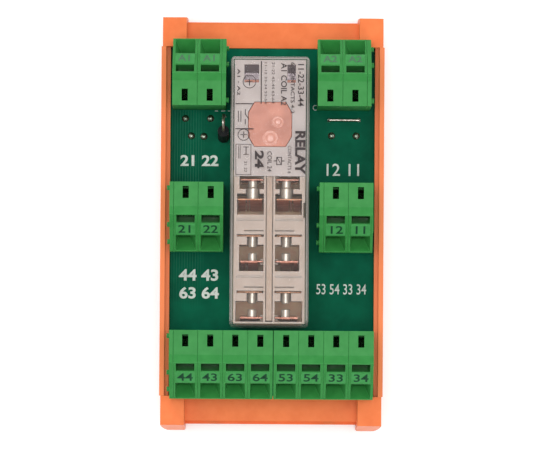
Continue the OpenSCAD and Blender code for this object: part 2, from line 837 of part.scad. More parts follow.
// The funnel is where a taper seen from the side meets a taper seen along the slope; x is its hole's
module funnel(x) {
    intersection() {
        across(funnel_w + cut_over) clamp_frame() polygon([
            [-cut_over, funnel_h / 2], [0, funnel_h / 2], [funnel_len, throat_half],
            [funnel_len, -throat_half], [0, -funnel_h / 2], [-cut_over, -funnel_h / 2]
        ]);
        translate([0, funnel_d, funnel_z]) rotate([-45, 0, 0]) translate([0, 0, -funnel_len])
            rotate([90, 0, 0]) linear_extrude(funnel_h + cut_over, center = true) polygon([
                [-funnel_w / 2, funnel_len + cut_over], [-funnel_w / 2, funnel_len],
                [x - throat_half, 0], [x + throat_half, 0],
                [funnel_w / 2, funnel_len], [funnel_w / 2, funnel_len + cut_over]
            ]);
    }
    translate([x, 0, 0]) across(throat_half * 2) clamp_frame()
        translate([funnel_len - cut_over, -throat_half])
            square([cavity_depth - funnel_len + cut_over * 2, throat_half * 2]);
}

module pole_cuts(way) {
    across(cavity_w) cavity_outline();
    across(pocket_w) clamp_frame() translate([0, pocket_b]) rotate(-pocket_lean)
        translate([-cut_over * 2, -pocket_h * cos(pocket_lean) / 2])
            square([cage_a + cut_over * 2, pocket_h * cos(pocket_lean)]);
    box([-test_slot_w / 2, test_slot_d, cavity_top - cut_over],
        [test_slot_w / 2, test_slot_d + test_slot_len, ridge_h]);
    funnel(way * throat_shift);
}

module label_pad() {
    top_b = pocket_b - pocket_h / 2 - pocket_inset;
    low_b = funnel_h / 2 + pocket_inset;
    across(label_w) clamp_frame() translate([-label_proud, low_b]) square([label_proud * 2, top_b - low_b]);
}

module cell_line() {
    across(line_w) difference() {
        translate([-cut_over, 0]) square([block_len + cut_over * 2, ridge_h + cut_over]);
        polygon(block_outline(line_depth));
    }
}

module terminal_block(b) {
    poles = BLOCKS[b][3];
    flank = BLOCKS[b][4];
    color("mediumseagreen") at_block(b) difference() {
        union() {
            translate([poles * pole_pitch / 2, 0, 0]) across(poles * pole_pitch) polygon(block_outline(0));
            for (i = [0 : poles - 1]) translate([(i + 0.5) * pole_pitch, 0, 0]) label_pad();
            if (b == 3) translate([poles * pole_pitch, ridge_d, ridge_h - ridge_d - bump_h])
                cube([bump_t, bump_len, bump_h]);
        }
        for (i = [0 : poles - 1]) translate([(i + 0.5) * pole_pitch, 0, 0]) pole_cuts(BLOCKS[b][2]);
        for (i = [1 : poles - 1]) translate([i * pole_pitch, 0, 0]) cell_line();
        if (flank != 0) translate([flank > 0 ? poles * pole_pitch - line_w : line_w, 0, 0]) cell_line();
    }
}

module flank_plate() {
    across(flank_t) polygon(block_outline(0));
    for (p = nub_shares) translate([flank_t / 2, block_len * p[0], ridge_h * p[1]]) rotate([0, 90, 0])
        cylinder(h = nub_len, r = nub_r);
}

module terminal_end_plates() {
    color("mediumseagreen") for (b = [0 : len(BLOCKS) - 1]) if (BLOCKS[b][4] != 0) {
        edge = BLOCKS[b][4] > 0 ? BLOCKS[b][3] * pole_pitch : 0;
        at_block(b) translate([edge + BLOCKS[b][4] * flank_t / 2, 0, 0])
            mirror([BLOCKS[b][4] < 0 ? 1 : 0, 0, 0]) flank_plate();
    }
}

module current_bars() {
    color("silver") for (p = [0 : len(POLES) - 1]) at_pole(p) {
        across(bar_half_w * 2) {
            clamp_frame() translate([bar_start, bar_b]) square([bar_end - bar_start, bar_t]);
            translate([bar_foot_d, 0]) square([bar_t, bar_foot_top]);
        }
        box([-pin_w / 2, bar_foot_d + bar_t / 2 - pin_t / 2, -board_t - pin_out],
            [pin_w / 2, bar_foot_d + bar_t / 2 + pin_t / 2, seam]);
    }
}

// Cage spring: a half loop, a leg down past the bar, and a foot whose window holds the bar
module clamp_spring(p) {
    outer = cage_r + cage_t / 2;
    color("lightgray") at_pole(p) difference() {
        across(cage_half_w * 2) clamp_frame() {
            translate([cage_a, cage_b]) difference() {
                circle(outer);
                circle(cage_r - cage_t / 2);
                translate([0, -outer - cut_over]) square((outer + cut_over) * 2);
            }
            translate([cage_a - seam, cage_b + outer - cage_t])
                square([cage_leg_a + cage_t - cage_a + seam, cage_t]);
            translate([cage_leg_a, cage_window_b - cage_lip])
                square([cage_t, cage_b + outer - cage_window_b + cage_lip]);
        }
        across(cage_window_half * 2) clamp_frame()
            translate([cage_leg_a - cut_over, cage_window_b])
                square([cage_t + cut_over * 2, cage_window_len]);
    }
}

// Plan view of the cover, with round corners
module cover_plan(inset) {
    half = [relay_w / 2 - inset, relay_len / 2 - inset];
    r = cover_r - inset;
    difference() {
        square(half * 2, center = true);
        for (x = [-1, 1], y = [-1, 1]) translate([x * half[0], y * half[1]]) square(r * 2, center = true);
    }
    for (x = [-1, 1], y = [-1, 1]) translate([x * (half[0] - r), y * (half[1] - r)]) circle(r);
}

// Side view of the cover, with round upper edges, half h wide
module cover_side(half, r, top) {
    difference() {
        translate([-half, 0]) square([half * 2, top]);
        for (s = [-1, 1]) translate([s * half, top]) square(r * 2, center = true);
    }
    for (s = [-1, 1]) translate([s * (half - r), top - r]) circle(r);
}

module cover_solid(inset, low, top) {
    r = max(cover_r - inset, seam);
    intersection() {
        translate([0, 0, low]) linear_extrude(top - low) cover_plan(inset);
        translate([0, relay_len / 2, 0]) rotate([90, 0, 0]) linear_extrude(relay_len)
            cover_side(relay_w / 2 - inset, r, top);
        across(relay_w) cover_side(relay_len / 2 - inset, r, top);
    }
}

module relay_cover() {
    color("white", 0.3) at_relay() difference() {
        cover_solid(0, cover_z, relay_top);
        cover_solid(cover_t, cover_z - cut_over, cover_in_top);
    }
}

module relay_base() {
    half = [cover_in_w - cover_gap, cover_in_len - cover_gap];
    color("tan") at_relay() difference() {
        union() {
            box([-half[0], -half[1], base_z], [half[0], half[1], base_top]);
            for (x = [-half[0], half[0] - base_foot_w], y = [-half[1], half[1] - base_foot_w])
                translate([x, y, board_top]) cube([base_foot_w, base_foot_w, base_foot_h + seam]);
        }
        for (s = [-1, 1], y = contact_rows) pin_slot(s * contact_pin_x, y);
        for (s = [-1, 1]) pin_slot(s * coil_pin_x, bobbin_end - flange_wall - pin_t / 2);
        for (x = [-1, 1], y = [-1, 1]) translate([x * half[0], y * half[1], 0])
            rotate(45) cube([cover_r, cover_r, relay_top * 2], center = true);
    }
}

module pin_slot(x, y) {
    box([x - pin_w / 2 - seam, y - pin_t / 2 - seam, board_top - cut_over],
        [x + pin_w / 2 + seam, y + pin_t / 2 + seam, base_top + cut_over]);
}

// Opening from z_low up through the top of the housing, on the right side
module chamber(x0, x1, y0, y1, z_low) {
    box([x0, y0, z_low], [x1, y1, housing_top + cut_over]);
}

module rivet_notch(y0, y1, r) {
    reach = r + notch_gap;
    chamber(column_x - reach, column_x + reach, y0, y1, rivet_z - reach);
}

module make_row_cuts(y, out_x) {
    wall_y = y - slot_half - notch_wall_t;
    floor_z = base_top - cut_over;
    chamber(rib_out_x, fixed_blade_out_x + seam, y - slot_half, y + slot_half, floor_z);
    rivet_notch(wall_y - cut_over, y, rivet_r);
    chamber(rib_out_x, out_x, max(wall_y - chamber_len, housing_front + front_wall_t), wall_y, floor_z);
    chamber(rib_out_x, line_slot_x, y + line_slot_gap, y + line_slot_gap + line_slot_w,
        housing_top - line_slot_depth);
}

module break_row_cuts() {
    wall_y = break_fixed + break_wall_gap;
    floor_z = base_top - cut_over;
    chamber(rib_out_x, break_out_x, break_fixed - break_front_len, wall_y, floor_z);
    rivet_notch(wall_y - cut_over, wall_y + break_notch_wall_t + cut_over, break_rivet_r);
    chamber(rib_out_x, middle_out_x, wall_y + break_notch_wall_t, lid_front, floor_z);
    box([rib_out_x, lid_front - cut_over, floor_z],
        [middle_out_x, housing_rear - rear_wall_t, lid_z]);
}

// Window in a rib, where the comb's arms reach the moving blades
module arm_window(y) {
    box([rib_in_x - cut_over, y - arm_half - window_play, channel_floor],
        [rib_out_x + cut_over, y + arm_half + comb_travel + window_play, arm_z + arm_h + window_play * 2]);
}

module contact_housing() {
    color("antiquewhite") at_relay() difference() {
        box([-housing_half_w, housing_front, base_top], [housing_half_w, housing_rear, housing_top]);
        box([-rib_in_x, housing_front + front_wall_t - seam, channel_floor],
            [rib_in_x, housing_rear + cut_over, housing_top + cut_over]);
        for (s = [-1, 1]) side(s) {
            make_row_cuts(make_fixed[0], middle_out_x);
            make_row_cuts(make_fixed[1], front_out_x);
            break_row_cuts();
            for (y = concat(make_moving, [break_moving])) arm_window(y);
        }
        box([-relay_w, lid_front - seam, lid_z - seam],
            [relay_w, housing_rear + cut_over, housing_top + cut_over]);
        box([housing_half_w - side_notch_depth, side_notch_y, base_top + cut_over],
            [housing_half_w + cut_over, side_notch_y + side_notch_len, housing_top + cut_over]);
    }
}

module lid_pad_outline(gap) {
    w = pad_half_w + gap;
    l = pad_half_len + gap;
    polygon([
        [-w, -l + pad_cut_y], [-w + pad_cut_x, -l], [w - pad_cut_x, -l], [w, -l + pad_cut_y],
        [w, l - pad_cut_y], [w - pad_cut_x, l], [-w + pad_cut_x, l], [-w, l - pad_cut_y]
    ]);
}

module coil_lid() {
    color("antiquewhite") at_relay() difference() {
        union() {
            box([-housing_half_w, lid_front, lid_z], [housing_half_w, lid_rear, housing_top]);
            for (s = [-1, 1]) side(s)
                box([housing_half_w - skirt_t, housing_rear + seam, skirt_z],
                    [housing_half_w, lid_rear, lid_z + seam]);
        }
        translate([0, pad_y, lid_z - cut_over]) linear_extrude(lid_t + cut_over * 2) lid_pad_outline(pad_gap);
        for (x = lid_slot_shares) box([housing_half_w * x[0], lid_slot_front, lid_z - cut_over],
            [housing_half_w * x[1], lid_slot_front + lid_slot_len, housing_top + cut_over]);
    }
}

// Cylinder along Y about the coil's axis
module coil_rod(y0, y1, r) {
    translate([0, y0, coil_z]) rotate([-90, 0, 0]) cylinder(h = y1 - y0, r = r);
}

module coil_bobbin() {
    notch_w = head_half_w + window_play * 2;
    color("darksalmon") at_relay() difference() {
        union() {
            for (y = [bobbin_y, bobbin_end - flange_wall])
                box([-flange_half_w, y, flange_z], [flange_half_w, y + flange_wall, flange_top]);
            coil_rod(bobbin_y, bobbin_end, bobbin_tube_r);
            box([-bridge_half_w, bobbin_y, flange_top - bridge_t + seam * 2],
                [bridge_half_w, bobbin_end, flange_top + seam]);
            translate([0, pad_y, flange_top])
                linear_extrude(housing_top - flange_top - seam) lid_pad_outline(0);
        }
        coil_rod(bobbin_y - cut_over, bobbin_end + cut_over, bobbin_bore_r);
        box([-notch_w, bobbin_y - cut_over, comb_z - window_play],
            [notch_w, bobbin_y + flange_wall + seam, housing_top]);
    }
}

module coil_winding() {
    color("peru") at_relay() difference() {
        coil_rod(bobbin_y + flange_wall + seam, bobbin_end - flange_wall - seam, winding_r);
        coil_rod(bobbin_y, bobbin_end, winding_bore_r);
    }
}

module coil_core() {
    color("gray") at_relay() {
        coil_rod(pole_y, bobbin_end, core_r);
        coil_rod(bobbin_end - seam, yoke_rear, spigot_r);
    }
}

module yoke() {
    color("gray") at_relay() difference() {
        union() {
            box([-yoke_half_w, yoke_front, yoke_z], [yoke_half_w, yoke_rear, yoke_z + yoke_t]);
            box([-yoke_half_w, bobbin_end + seam, yoke_z], [yoke_half_w, yoke_rear, flange_top]);
        }
        coil_rod(bobbin_end, yoke_rear + cut_over, spigot_r + seam);
    }
}

// Round edge along X, on which a plate turns
module edge_rod(x0, x1, y, z, r) {
    translate([x0, y, z]) rotate([0, 90, 0]) cylinder(h = x1 - x0, r = r);
}

module armature() {
    low_y = armature_y - armature_t / 2;
    high_y = armature_y + armature_t / 2;
    color("gray") at_relay() {
        box([-armature_w / 2, low_y, pivot_z], [armature_w / 2, high_y, armature_top]);
        edge_rod(-armature_w / 2, armature_w / 2, armature_y, pivot_z, armature_t / 2);
        box([-tongue_half_w, low_y, armature_top - seam], [tongue_half_w, high_y, tongue_top]);
    }
}

module comb_arm(y) {
    grip = blade_t / 2 + finger_play;
    difference() {
        union() {
            box([-comb_half, y - arm_half, arm_z], [comb_half, y + arm_half, comb_z + seam]);
            box([-arm_out_x, y - arm_half, arm_z], [arm_out_x, y + arm_half, arm_z + arm_h]);
        }
        for (s = [-1, 1]) side(s)
            box([blade_in_x - window_play, y - grip, arm_z - cut_over],
                [arm_out_x + cut_over, y + grip, arm_z + arm_h + cut_over]);
    }
}

module comb() {
    slot = armature_t / 2 + head_slot_gap;
    head_low = armature_y - slot - head_web;
    head_high = armature_y + slot + head_web;
    color("ivory") at_relay() {
        for (y = concat(make_moving, [break_moving])) comb_arm(y);
        difference() {
            union() {
                box([-comb_half, comb_front, comb_z], [comb_half, head_high, comb_z + comb_h]);
                box([-head_half_w, head_low, comb_z], [head_half_w, head_high, comb_z + comb_h]);
            }
            box([-tongue_half_w - head_slot_gap, armature_y - slot, comb_z - cut_over],
                [tongue_half_w + head_slot_gap, armature_y + slot, comb_z + comb_h + cut_over]);
        }
    }
}

module coil_pins() {
    color("silver") at_relay() for (s = [-1, 1]) side(s)
        box([coil_pin_x - pin_w / 2, bobbin_end - flange_wall - pin_t, pin_z],
            [coil_pin_x + pin_w / 2, bobbin_end - flange_wall, flange_z + flange_wall * 2]);
}

module contact_pin(y, top) {
    box([contact_pin_x - pin_w / 2, y - pin_t / 2, pin_z], [contact_pin_x + pin_w / 2, y + pin_t / 2, top]);
}

module fixed_contacts() {
    color("sienna") at_relay() for (s = [-1, 1]) side(s) for (y = concat(make_fixed, [break_fixed])) {
        box([fixed_blade_in_x, y - fixed_blade_t / 2, base_top],
            [fixed_blade_out_x, y + fixed_blade_t / 2, blade_top]);
        contact_pin(y, base_top + seam);
    }
}

// Contact rivet of radius r along Y between y0 and y1, with a bevelled face at y1
module rivet(y0, y1, r) {
    straight = abs(y1 - y0) - rivet_bevel;
    translate([column_x, y0, rivet_z]) rotate([y1 > y0 ? -90 : 90, 0, 0]) {
        cylinder(h = straight, r = r);
        translate([0, 0, straight]) cylinder(h = rivet_bevel, r1 = r, r2 = r - rivet_bevel);
    }
}

module fixed_rivets() {
    color("silver") at_relay() for (s = [-1, 1]) side(s) {
        for (y = make_fixed)
            rivet(y - fixed_blade_t / 2, y - fixed_blade_t / 2 - fixed_rivet_len, fixed_rivet_r);
        break_face = break_fixed + fixed_blade_t / 2;
        rivet(break_face, break_face + break_rivet_len, break_rivet_r);
    }
}

module spring_roots() {
    root_top = blade_z - bead_r - seam;
    color("sienna") at_relay() for (s = [-1, 1]) side(s) for (y = concat(make_moving, [break_moving])) {
        box([fixed_blade_in_x, y - root_half_len, base_top], [blade_out_x, y + root_half_len, root_top]);
        contact_pin(y, base_top + seam);
    }
}

module contact_spring(s, y, reach) {
    face = y + sign(reach) * blade_t / 2;
    color("sienna") at_relay() side(s) {
        box([blade_in_x, y - blade_t / 2, blade_z], [blade_out_x, y + blade_t / 2, blade_top]);
        edge_rod(blade_in_x, blade_out_x, y, blade_z, bead_r);
        rivet(face, face + reach, rivet_r);
    }
}

carrier_profile();
end_cap(false);  // end_cap_rear
end_cap(true);  // end_cap_front
rail_latch(false);  // rail_latch_rear
rail_latch(true);  // rail_latch_front
latch_spring(false);  // latch_spring_rear
latch_spring(true);  // latch_spring_front
cap_screws();
circuit_board();
solder_joints();
wire_link();
diode_body();
diode_leads();
terminal_block(0);  // coil_terminal_left
terminal_block(1);  // coil_terminal_right
terminal_block(2);  // contact_terminal_left
terminal_block(3);  // contact_terminal_right
terminal_block(4);  // front_terminal_left
terminal_block(5);  // front_terminal_right
terminal_end_plates();
current_bars();
clamp_spring(0);  // clamp_spring_1
clamp_spring(1);  // clamp_spring_2
clamp_spring(2);  // clamp_spring_3
clamp_spring(3);  // clamp_spring_4
clamp_spring(4);  // clamp_spring_5
clamp_spring(5);  // clamp_spring_6
clamp_spring(6);  // clamp_spring_7
clamp_spring(7);  // clamp_spring_8
clamp_spring(8);  // clamp_spring_9
clamp_spring(9);  // clamp_spring_10
clamp_spring(10);  // clamp_spring_11
clamp_spring(11);  // clamp_spring_12
clamp_spring(12);  // clamp_spring_13
clamp_spring(13);  // clamp_spring_14
clamp_spring(14);  // clamp_spring_15
clamp_spring(15);  // clamp_spring_16
relay_cover();
relay_base();
contact_housing();
coil_lid();
coil_bobbin();
coil_winding();
coil_core();
yoke();
armature();
comb();
coil_pins();
fixed_contacts();
fixed_rivets();
spring_roots();
contact_spring(-1, break_moving, -break_moving_rivet_len);  // break_spring_left
contact_spring(1, break_moving, -break_moving_rivet_len);  // break_spring_right
contact_spring(-1, make_moving[0], moving_rivet_len);  // make_spring_2_left
contact_spring(1, make_moving[0], moving_rivet_len);  // make_spring_2_right
contact_spring(-1, make_moving[1], moving_rivet_len);  // make_spring_3_left
contact_spring(1, make_moving[1], moving_rivet_len);  // make_spring_3_right
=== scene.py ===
# Rail-mounted relay module, dressed for rendering. Metres; X across the rail, Y along it, Z up.
import math
import bmesh
import bpy
from mathutils import Euler, Matrix, Vector


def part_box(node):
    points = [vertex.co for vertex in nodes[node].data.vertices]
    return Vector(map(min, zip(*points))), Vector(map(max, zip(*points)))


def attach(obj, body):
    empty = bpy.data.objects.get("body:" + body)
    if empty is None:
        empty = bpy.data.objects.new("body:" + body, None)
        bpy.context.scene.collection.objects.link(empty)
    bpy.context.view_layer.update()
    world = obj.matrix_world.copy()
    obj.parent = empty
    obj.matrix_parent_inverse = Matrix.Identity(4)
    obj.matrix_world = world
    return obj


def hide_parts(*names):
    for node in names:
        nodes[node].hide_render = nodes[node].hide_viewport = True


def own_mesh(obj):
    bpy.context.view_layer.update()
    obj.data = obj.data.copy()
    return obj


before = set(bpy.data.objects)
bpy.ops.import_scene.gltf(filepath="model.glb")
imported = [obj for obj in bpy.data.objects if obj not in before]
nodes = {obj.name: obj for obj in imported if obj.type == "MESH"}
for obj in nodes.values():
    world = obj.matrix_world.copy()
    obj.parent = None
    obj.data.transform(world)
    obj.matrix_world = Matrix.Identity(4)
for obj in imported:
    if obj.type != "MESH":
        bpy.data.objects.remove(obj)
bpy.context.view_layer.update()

scene = bpy.context.scene
mm = 0.001
print("frame loaded,", len(nodes), "nodes")


# Colours are written as they look on a screen, 0 to 255
def colour(r, g, b):
    out = []
    for c in (r / 255, g / 255, b / 255):
        out.append(c / 12.92 if c <= 0.04045 else ((c + 0.055) / 1.055) ** 2.4)
    return (*out, 1)


def newMaterial(name):
    material = bpy.data.materials.new(name)
    material.use_nodes = True
    return material, material.node_tree, material.node_tree.nodes["Principled BSDF"]


def addNode(tree, kind, inputs=(), **settings):
    n = tree.nodes.new(kind)
    for key, value in settings.items():
        setattr(n, key, value)
    for key, value in dict(inputs).items():
        n.inputs[key].default_value = value
    return n


def place(tree, scale=(1, 1, 1)):
    coords = addNode(tree, "ShaderNodeTexCoord")
    mapping = addNode(tree, "ShaderNodeMapping", {"Scale": scale})
    tree.links.new(coords.outputs["Object"], mapping.inputs["Vector"])
    return mapping.outputs["Vector"]


def noise(tree, where, scale, detail=3.0):
    n = addNode(tree, "ShaderNodeTexNoise", {"Scale": scale, "Detail": detail})
    tree.links.new(where, n.inputs["Vector"])
    return n.outputs["Fac"]


def ramp(tree, fac, stops):
    n = addNode(tree, "ShaderNodeValToRGB")
    while len(n.color_ramp.elements) < len(stops):
        n.color_ramp.elements.new(0.5)
    for element, (at, value) in zip(n.color_ramp.elements, stops):
        element.position = at
        element.color = value
    tree.links.new(fac, n.inputs["Fac"])
    return n.outputs["Color"]


def spread(tree, fac, low, high, fromLow=0.0, fromHigh=1.0):
    n = addNode(tree, "ShaderNodeMapRange",
                {"From Min": fromLow, "From Max": fromHigh, "To Min": low, "To Max": high})
    tree.links.new(fac, n.inputs["Value"])
    return n.outputs["Result"]


def bump(tree, height, distance, strength, normal=None):
    n = addNode(tree, "ShaderNodeBump", {"Distance": distance, "Strength": strength})
    tree.links.new(height, n.inputs["Height"])
    if normal is not None:
        tree.links.new(normal, n.inputs["Normal"])
    return n.outputs["Normal"]


def mixColour(tree, fac, first, second):
    n = addNode(tree, "ShaderNodeMix", data_type="RGBA")
    tree.links.new(fac, n.inputs["Factor"])
    tree.links.new(first, n.inputs["A"])
    if isinstance(second, tuple):
        n.inputs["B"].default_value = second
    else:
        tree.links.new(second, n.inputs["B"])
    return n.outputs["Result"]


def maths(tree, operation, a, b=None, clamp=False):
    n = addNode(tree, "ShaderNodeMath", operation=operation, use_clamp=clamp)
    for i, value in enumerate((a, b)):
        if value is None:
            continue
        if isinstance(value, (int, float)):
            n.inputs[i].default_value = value
        else:
            tree.links.new(value, n.inputs[i])
    return n.outputs[0]


# The X, Y and Z of a place
def parts(tree, where):
    n = addNode(tree, "ShaderNodeSeparateXYZ")
    tree.links.new(where, n.inputs["Vector"])
    return n.outputs


# Darker and lighter colour in patches of noise
def mottled(tree, grain, dark, light):
    return ramp(tree, grain, [(0.3, colour(*dark)), (0.7, colour(*light))])


moulding = {
    "edgeHighlight": (0.75, 0.98),           # cosine from the softened normal to the plain one: where the painted edge highlight is whole, where it is gone
    "paler": (1.2, 24),             # factor and lift that make the colour of the painted edge highlight
    "skin": 0.004 * mm,             # depth of the fine skin
    "glowColour": (1, 0.8, 0.65), "glowDepth": 1.5 * mm,
}


# Moulded plastic: a little mottled, with softened edges that are painted paler as a highlight, and a fine
# skin
def plastic(name, dark, light, roughness=(0.32, 0.46), stretch=(1, 1, 1), grain=700, edge=0.12 * mm,
            specular=0.12, glow=0, edgeHighlightShare=0.5):
    s = moulding
    material, tree, shader = newMaterial(name)
    where = place(tree, stretch)
    body = mottled(tree, noise(tree, where, grain, 4), dark, light)
    soft = addNode(tree, "ShaderNodeBevel", {"Radius": edge}, samples=6)
    turned = addNode(tree, "ShaderNodeVectorMath", operation="DOT_PRODUCT")
    tree.links.new(soft.outputs["Normal"], turned.inputs[0])
    tree.links.new(addNode(tree, "ShaderNodeNewGeometry").outputs["Normal"], turned.inputs[1])
    # Painted highlight: edges are lighter where the softened normal turns away from the plain one
    edgeHighlight = spread(tree, turned.outputs["Value"], edgeHighlightShare, 0, *s["edgeHighlight"])
    factor, lift = s["paler"]
    pale = colour(*(min(255, c * factor + lift) for c in light))
    tree.links.new(mixColour(tree, edgeHighlight, body, pale), shader.inputs["Base Color"])
    tree.links.new(spread(tree, noise(tree, where, grain * 2.3), *roughness), shader.inputs["Roughness"])
    fine = noise(tree, place(tree), grain * 12, 2)
    tree.links.new(bump(tree, fine, s["skin"], 0.5, soft.outputs["Normal"]), shader.inputs["Normal"])
    shader.inputs["IOR"].default_value = 1.5
    shader.inputs["Specular IOR Level"].default_value = specular
    if glow:
        shader.inputs["Subsurface Weight"].default_value = glow
        shader.inputs["Subsurface Radius"].default_value = s["glowColour"]
        shader.inputs["Subsurface Scale"].default_value = s["glowDepth"]
    return material


# Metal, or a duller mix of it where shine is under 1; scratch is the depth of its surface
def metal(name, dark, light, roughness=(0.2, 0.35), stretch=(1, 1, 1), grain=1500, scratch=0.006 * mm,
          shine=1, edge=0.05 * mm):
    material, tree, shader = newMaterial(name)
    where = place(tree, stretch)
    tree.links.new(mottled(tree, noise(tree, where, grain, 4), dark, light), shader.inputs["Base Color"])
    tree.links.new(spread(tree, noise(tree, where, grain * 2.3), *roughness), shader.inputs["Roughness"])
    soft = addNode(tree, "ShaderNodeBevel", {"Radius": edge}, samples=4)
    tree.links.new(bump(tree, noise(tree, where, grain * 3, 2), scratch, 0.5, soft.outputs["Normal"]),
                   shader.inputs["Normal"])
    shader.inputs["Metallic"].default_value = shine
    return material


orangeProfile = plastic("orangeProfile", (233, 125, 74), (239, 132, 80), stretch=(1, 0.04, 1), grain=2600)
orangeCap = plastic("orangeCap", (231, 115, 60), (239, 125, 69), grain=400)
green = plastic("greenTerminal", (46, 126, 58), (55, 136, 66), grain=500, edge=0.2 * mm, edgeHighlightShare=0.7)
labelGreen = plastic("labelGreen", (56, 136, 68), (66, 147, 80), roughness=(0.45, 0.6), grain=900)
whitePlastic = plastic("whiteHousing", (178, 160, 148), (190, 173, 162), grain=300, glow=0.5)
lidPlastic = plastic("lidPlastic", (182, 170, 166), (192, 181, 177), grain=300, glow=0.3)
bobbin = plastic("bobbinPlastic", (164, 92, 68), (194, 118, 92), roughness=(0.2, 0.3), grain=260,
                 specular=0.3)
combPlastic = plastic("combPlastic", (198, 174, 156), (208, 185, 169), glow=0.4)
black = plastic("diodeBody", (24, 24, 26), (36, 36, 38), roughness=(0.4, 0.55))
steel = metal("screwSteel", (170, 170, 168), (200, 200, 198))
springSteel = metal("springSteel", (180, 180, 178), (205, 205, 203))
softIron = metal("softIron", (96, 88, 92), (122, 112, 114), (0.3, 0.5))
copper = metal("copperAlloy", (132, 88, 60), (164, 116, 86), (0.3, 0.45), shine=0.5)
leafBronze = metal("leafBronze", (190, 92, 60), (244, 156, 122), (0.28, 0.4), stretch=(0.3, 1, 1),
                   grain=900, shine=0.2)
silver = metal("contactSilver", (240, 230, 214), (255, 248, 236), (0.42, 0.5), shine=0.65)
tin = metal("tinPlate", (195, 195, 190), (215, 215, 210))
solder = metal("solder", (104, 116, 102), (146, 154, 140), (0.26, 0.38), grain=900)
linkWire = metal("linkWire", (176, 160, 152), (206, 196, 188), (0.3, 0.4), scratch=0)
winding = metal("enamelledWinding", (150, 70, 40), (180, 90, 55), (0.25, 0.4), stretch=(1, 9, 1),
                scratch=0.04 * mm)


solderMask = {
    "dark": (0, 86, 62), "light": (4, 102, 74),
    "trackColour": (52, 122, 96), "trackPitch": 0.55 * mm, "trackDepth": 0.03 * mm,
    "trackWave": (0.2, 0.9),                    # heights of a sine where a track's side begins and ends
    "faint": 0.55,                              # share of the track's colour that shows
    "left": -20.9 * mm, "rear": 24.5 * mm,      # where the tracks stop, and below where they fade out
    "fadeRight": (-15.5 * mm, -13.8 * mm), "fadeFront": (-19 * mm, -5 * mm),
}


# Circuit board: solder mask over fine copper tracks that run along the board on its left part
def boardMask():
    s = solderMask
    material, tree, shader = newMaterial("boardMask")
    where = place(tree)
    base = mottled(tree, noise(tree, where, 260, 4), s["dark"], s["light"])
    apart = parts(tree, where)
    across, along = apart["X"], apart["Y"]
    wave = maths(tree, "SINE", maths(tree, "MULTIPLY", across, 2 * math.pi / s["trackPitch"]))
    lines = spread(tree, wave, 0, 1, *s["trackWave"])
    inX = maths(tree, "MULTIPLY", maths(tree, "GREATER_THAN", across, s["left"]),
                spread(tree, across, 1, 0, *s["fadeRight"]))
    inY = maths(tree, "MULTIPLY", spread(tree, along, 0, 1, *s["fadeFront"]),
                maths(tree, "LESS_THAN", along, s["rear"]))
    tracks = maths(tree, "MULTIPLY", maths(tree, "MULTIPLY", inX, inY), lines, clamp=True)
    seen = maths(tree, "MULTIPLY", tracks, s["faint"])
    tree.links.new(mixColour(tree, seen, base, colour(*s["trackColour"])), shader.inputs["Base Color"])
    tree.links.new(bump(tree, tracks, s["trackDepth"], 0.6), shader.inputs["Normal"])
    shader.inputs["Roughness"].default_value = 0.25
    shader.inputs["Specular IOR Level"].default_value = 0.01
    return material


coverLook = {
    "wall": 0.6 * mm,
    "alpha": (0.02, 0.6),           # seen flat on and at a slant
    "slant": (0.2, 0.95),           # the layer weight's facing that gives each of them
    "frontShare": 0.3,              # of that alpha, at the very front
    "frontDepth": 1.02 * mm,        # from the front end to where the alpha is whole
    "rimAlpha": (0.1, 0.5),         # over the walls' top edge, at the front end and behind it
    "rimDepth": (0.6 * mm, 1.8 * mm),           # from the front end to where each of them begins
    "plain": [(0.2, (236, 232, 228)), (0.9, (96, 86, 84))],     # painted shade: colours by the same facing, darker at a slant
    "rimReflections": [                   # painted reflection: light and dark lines across a wall's top edge, from its inner to its outer side
        (0, (120, 110, 104)), (0.2, (206, 194, 188)), (0.45, (206, 194, 188)),
        (0.6, (70, 64, 60)), (0.78, (206, 198, 194)), (1, (60, 56, 54)),
    ],
}


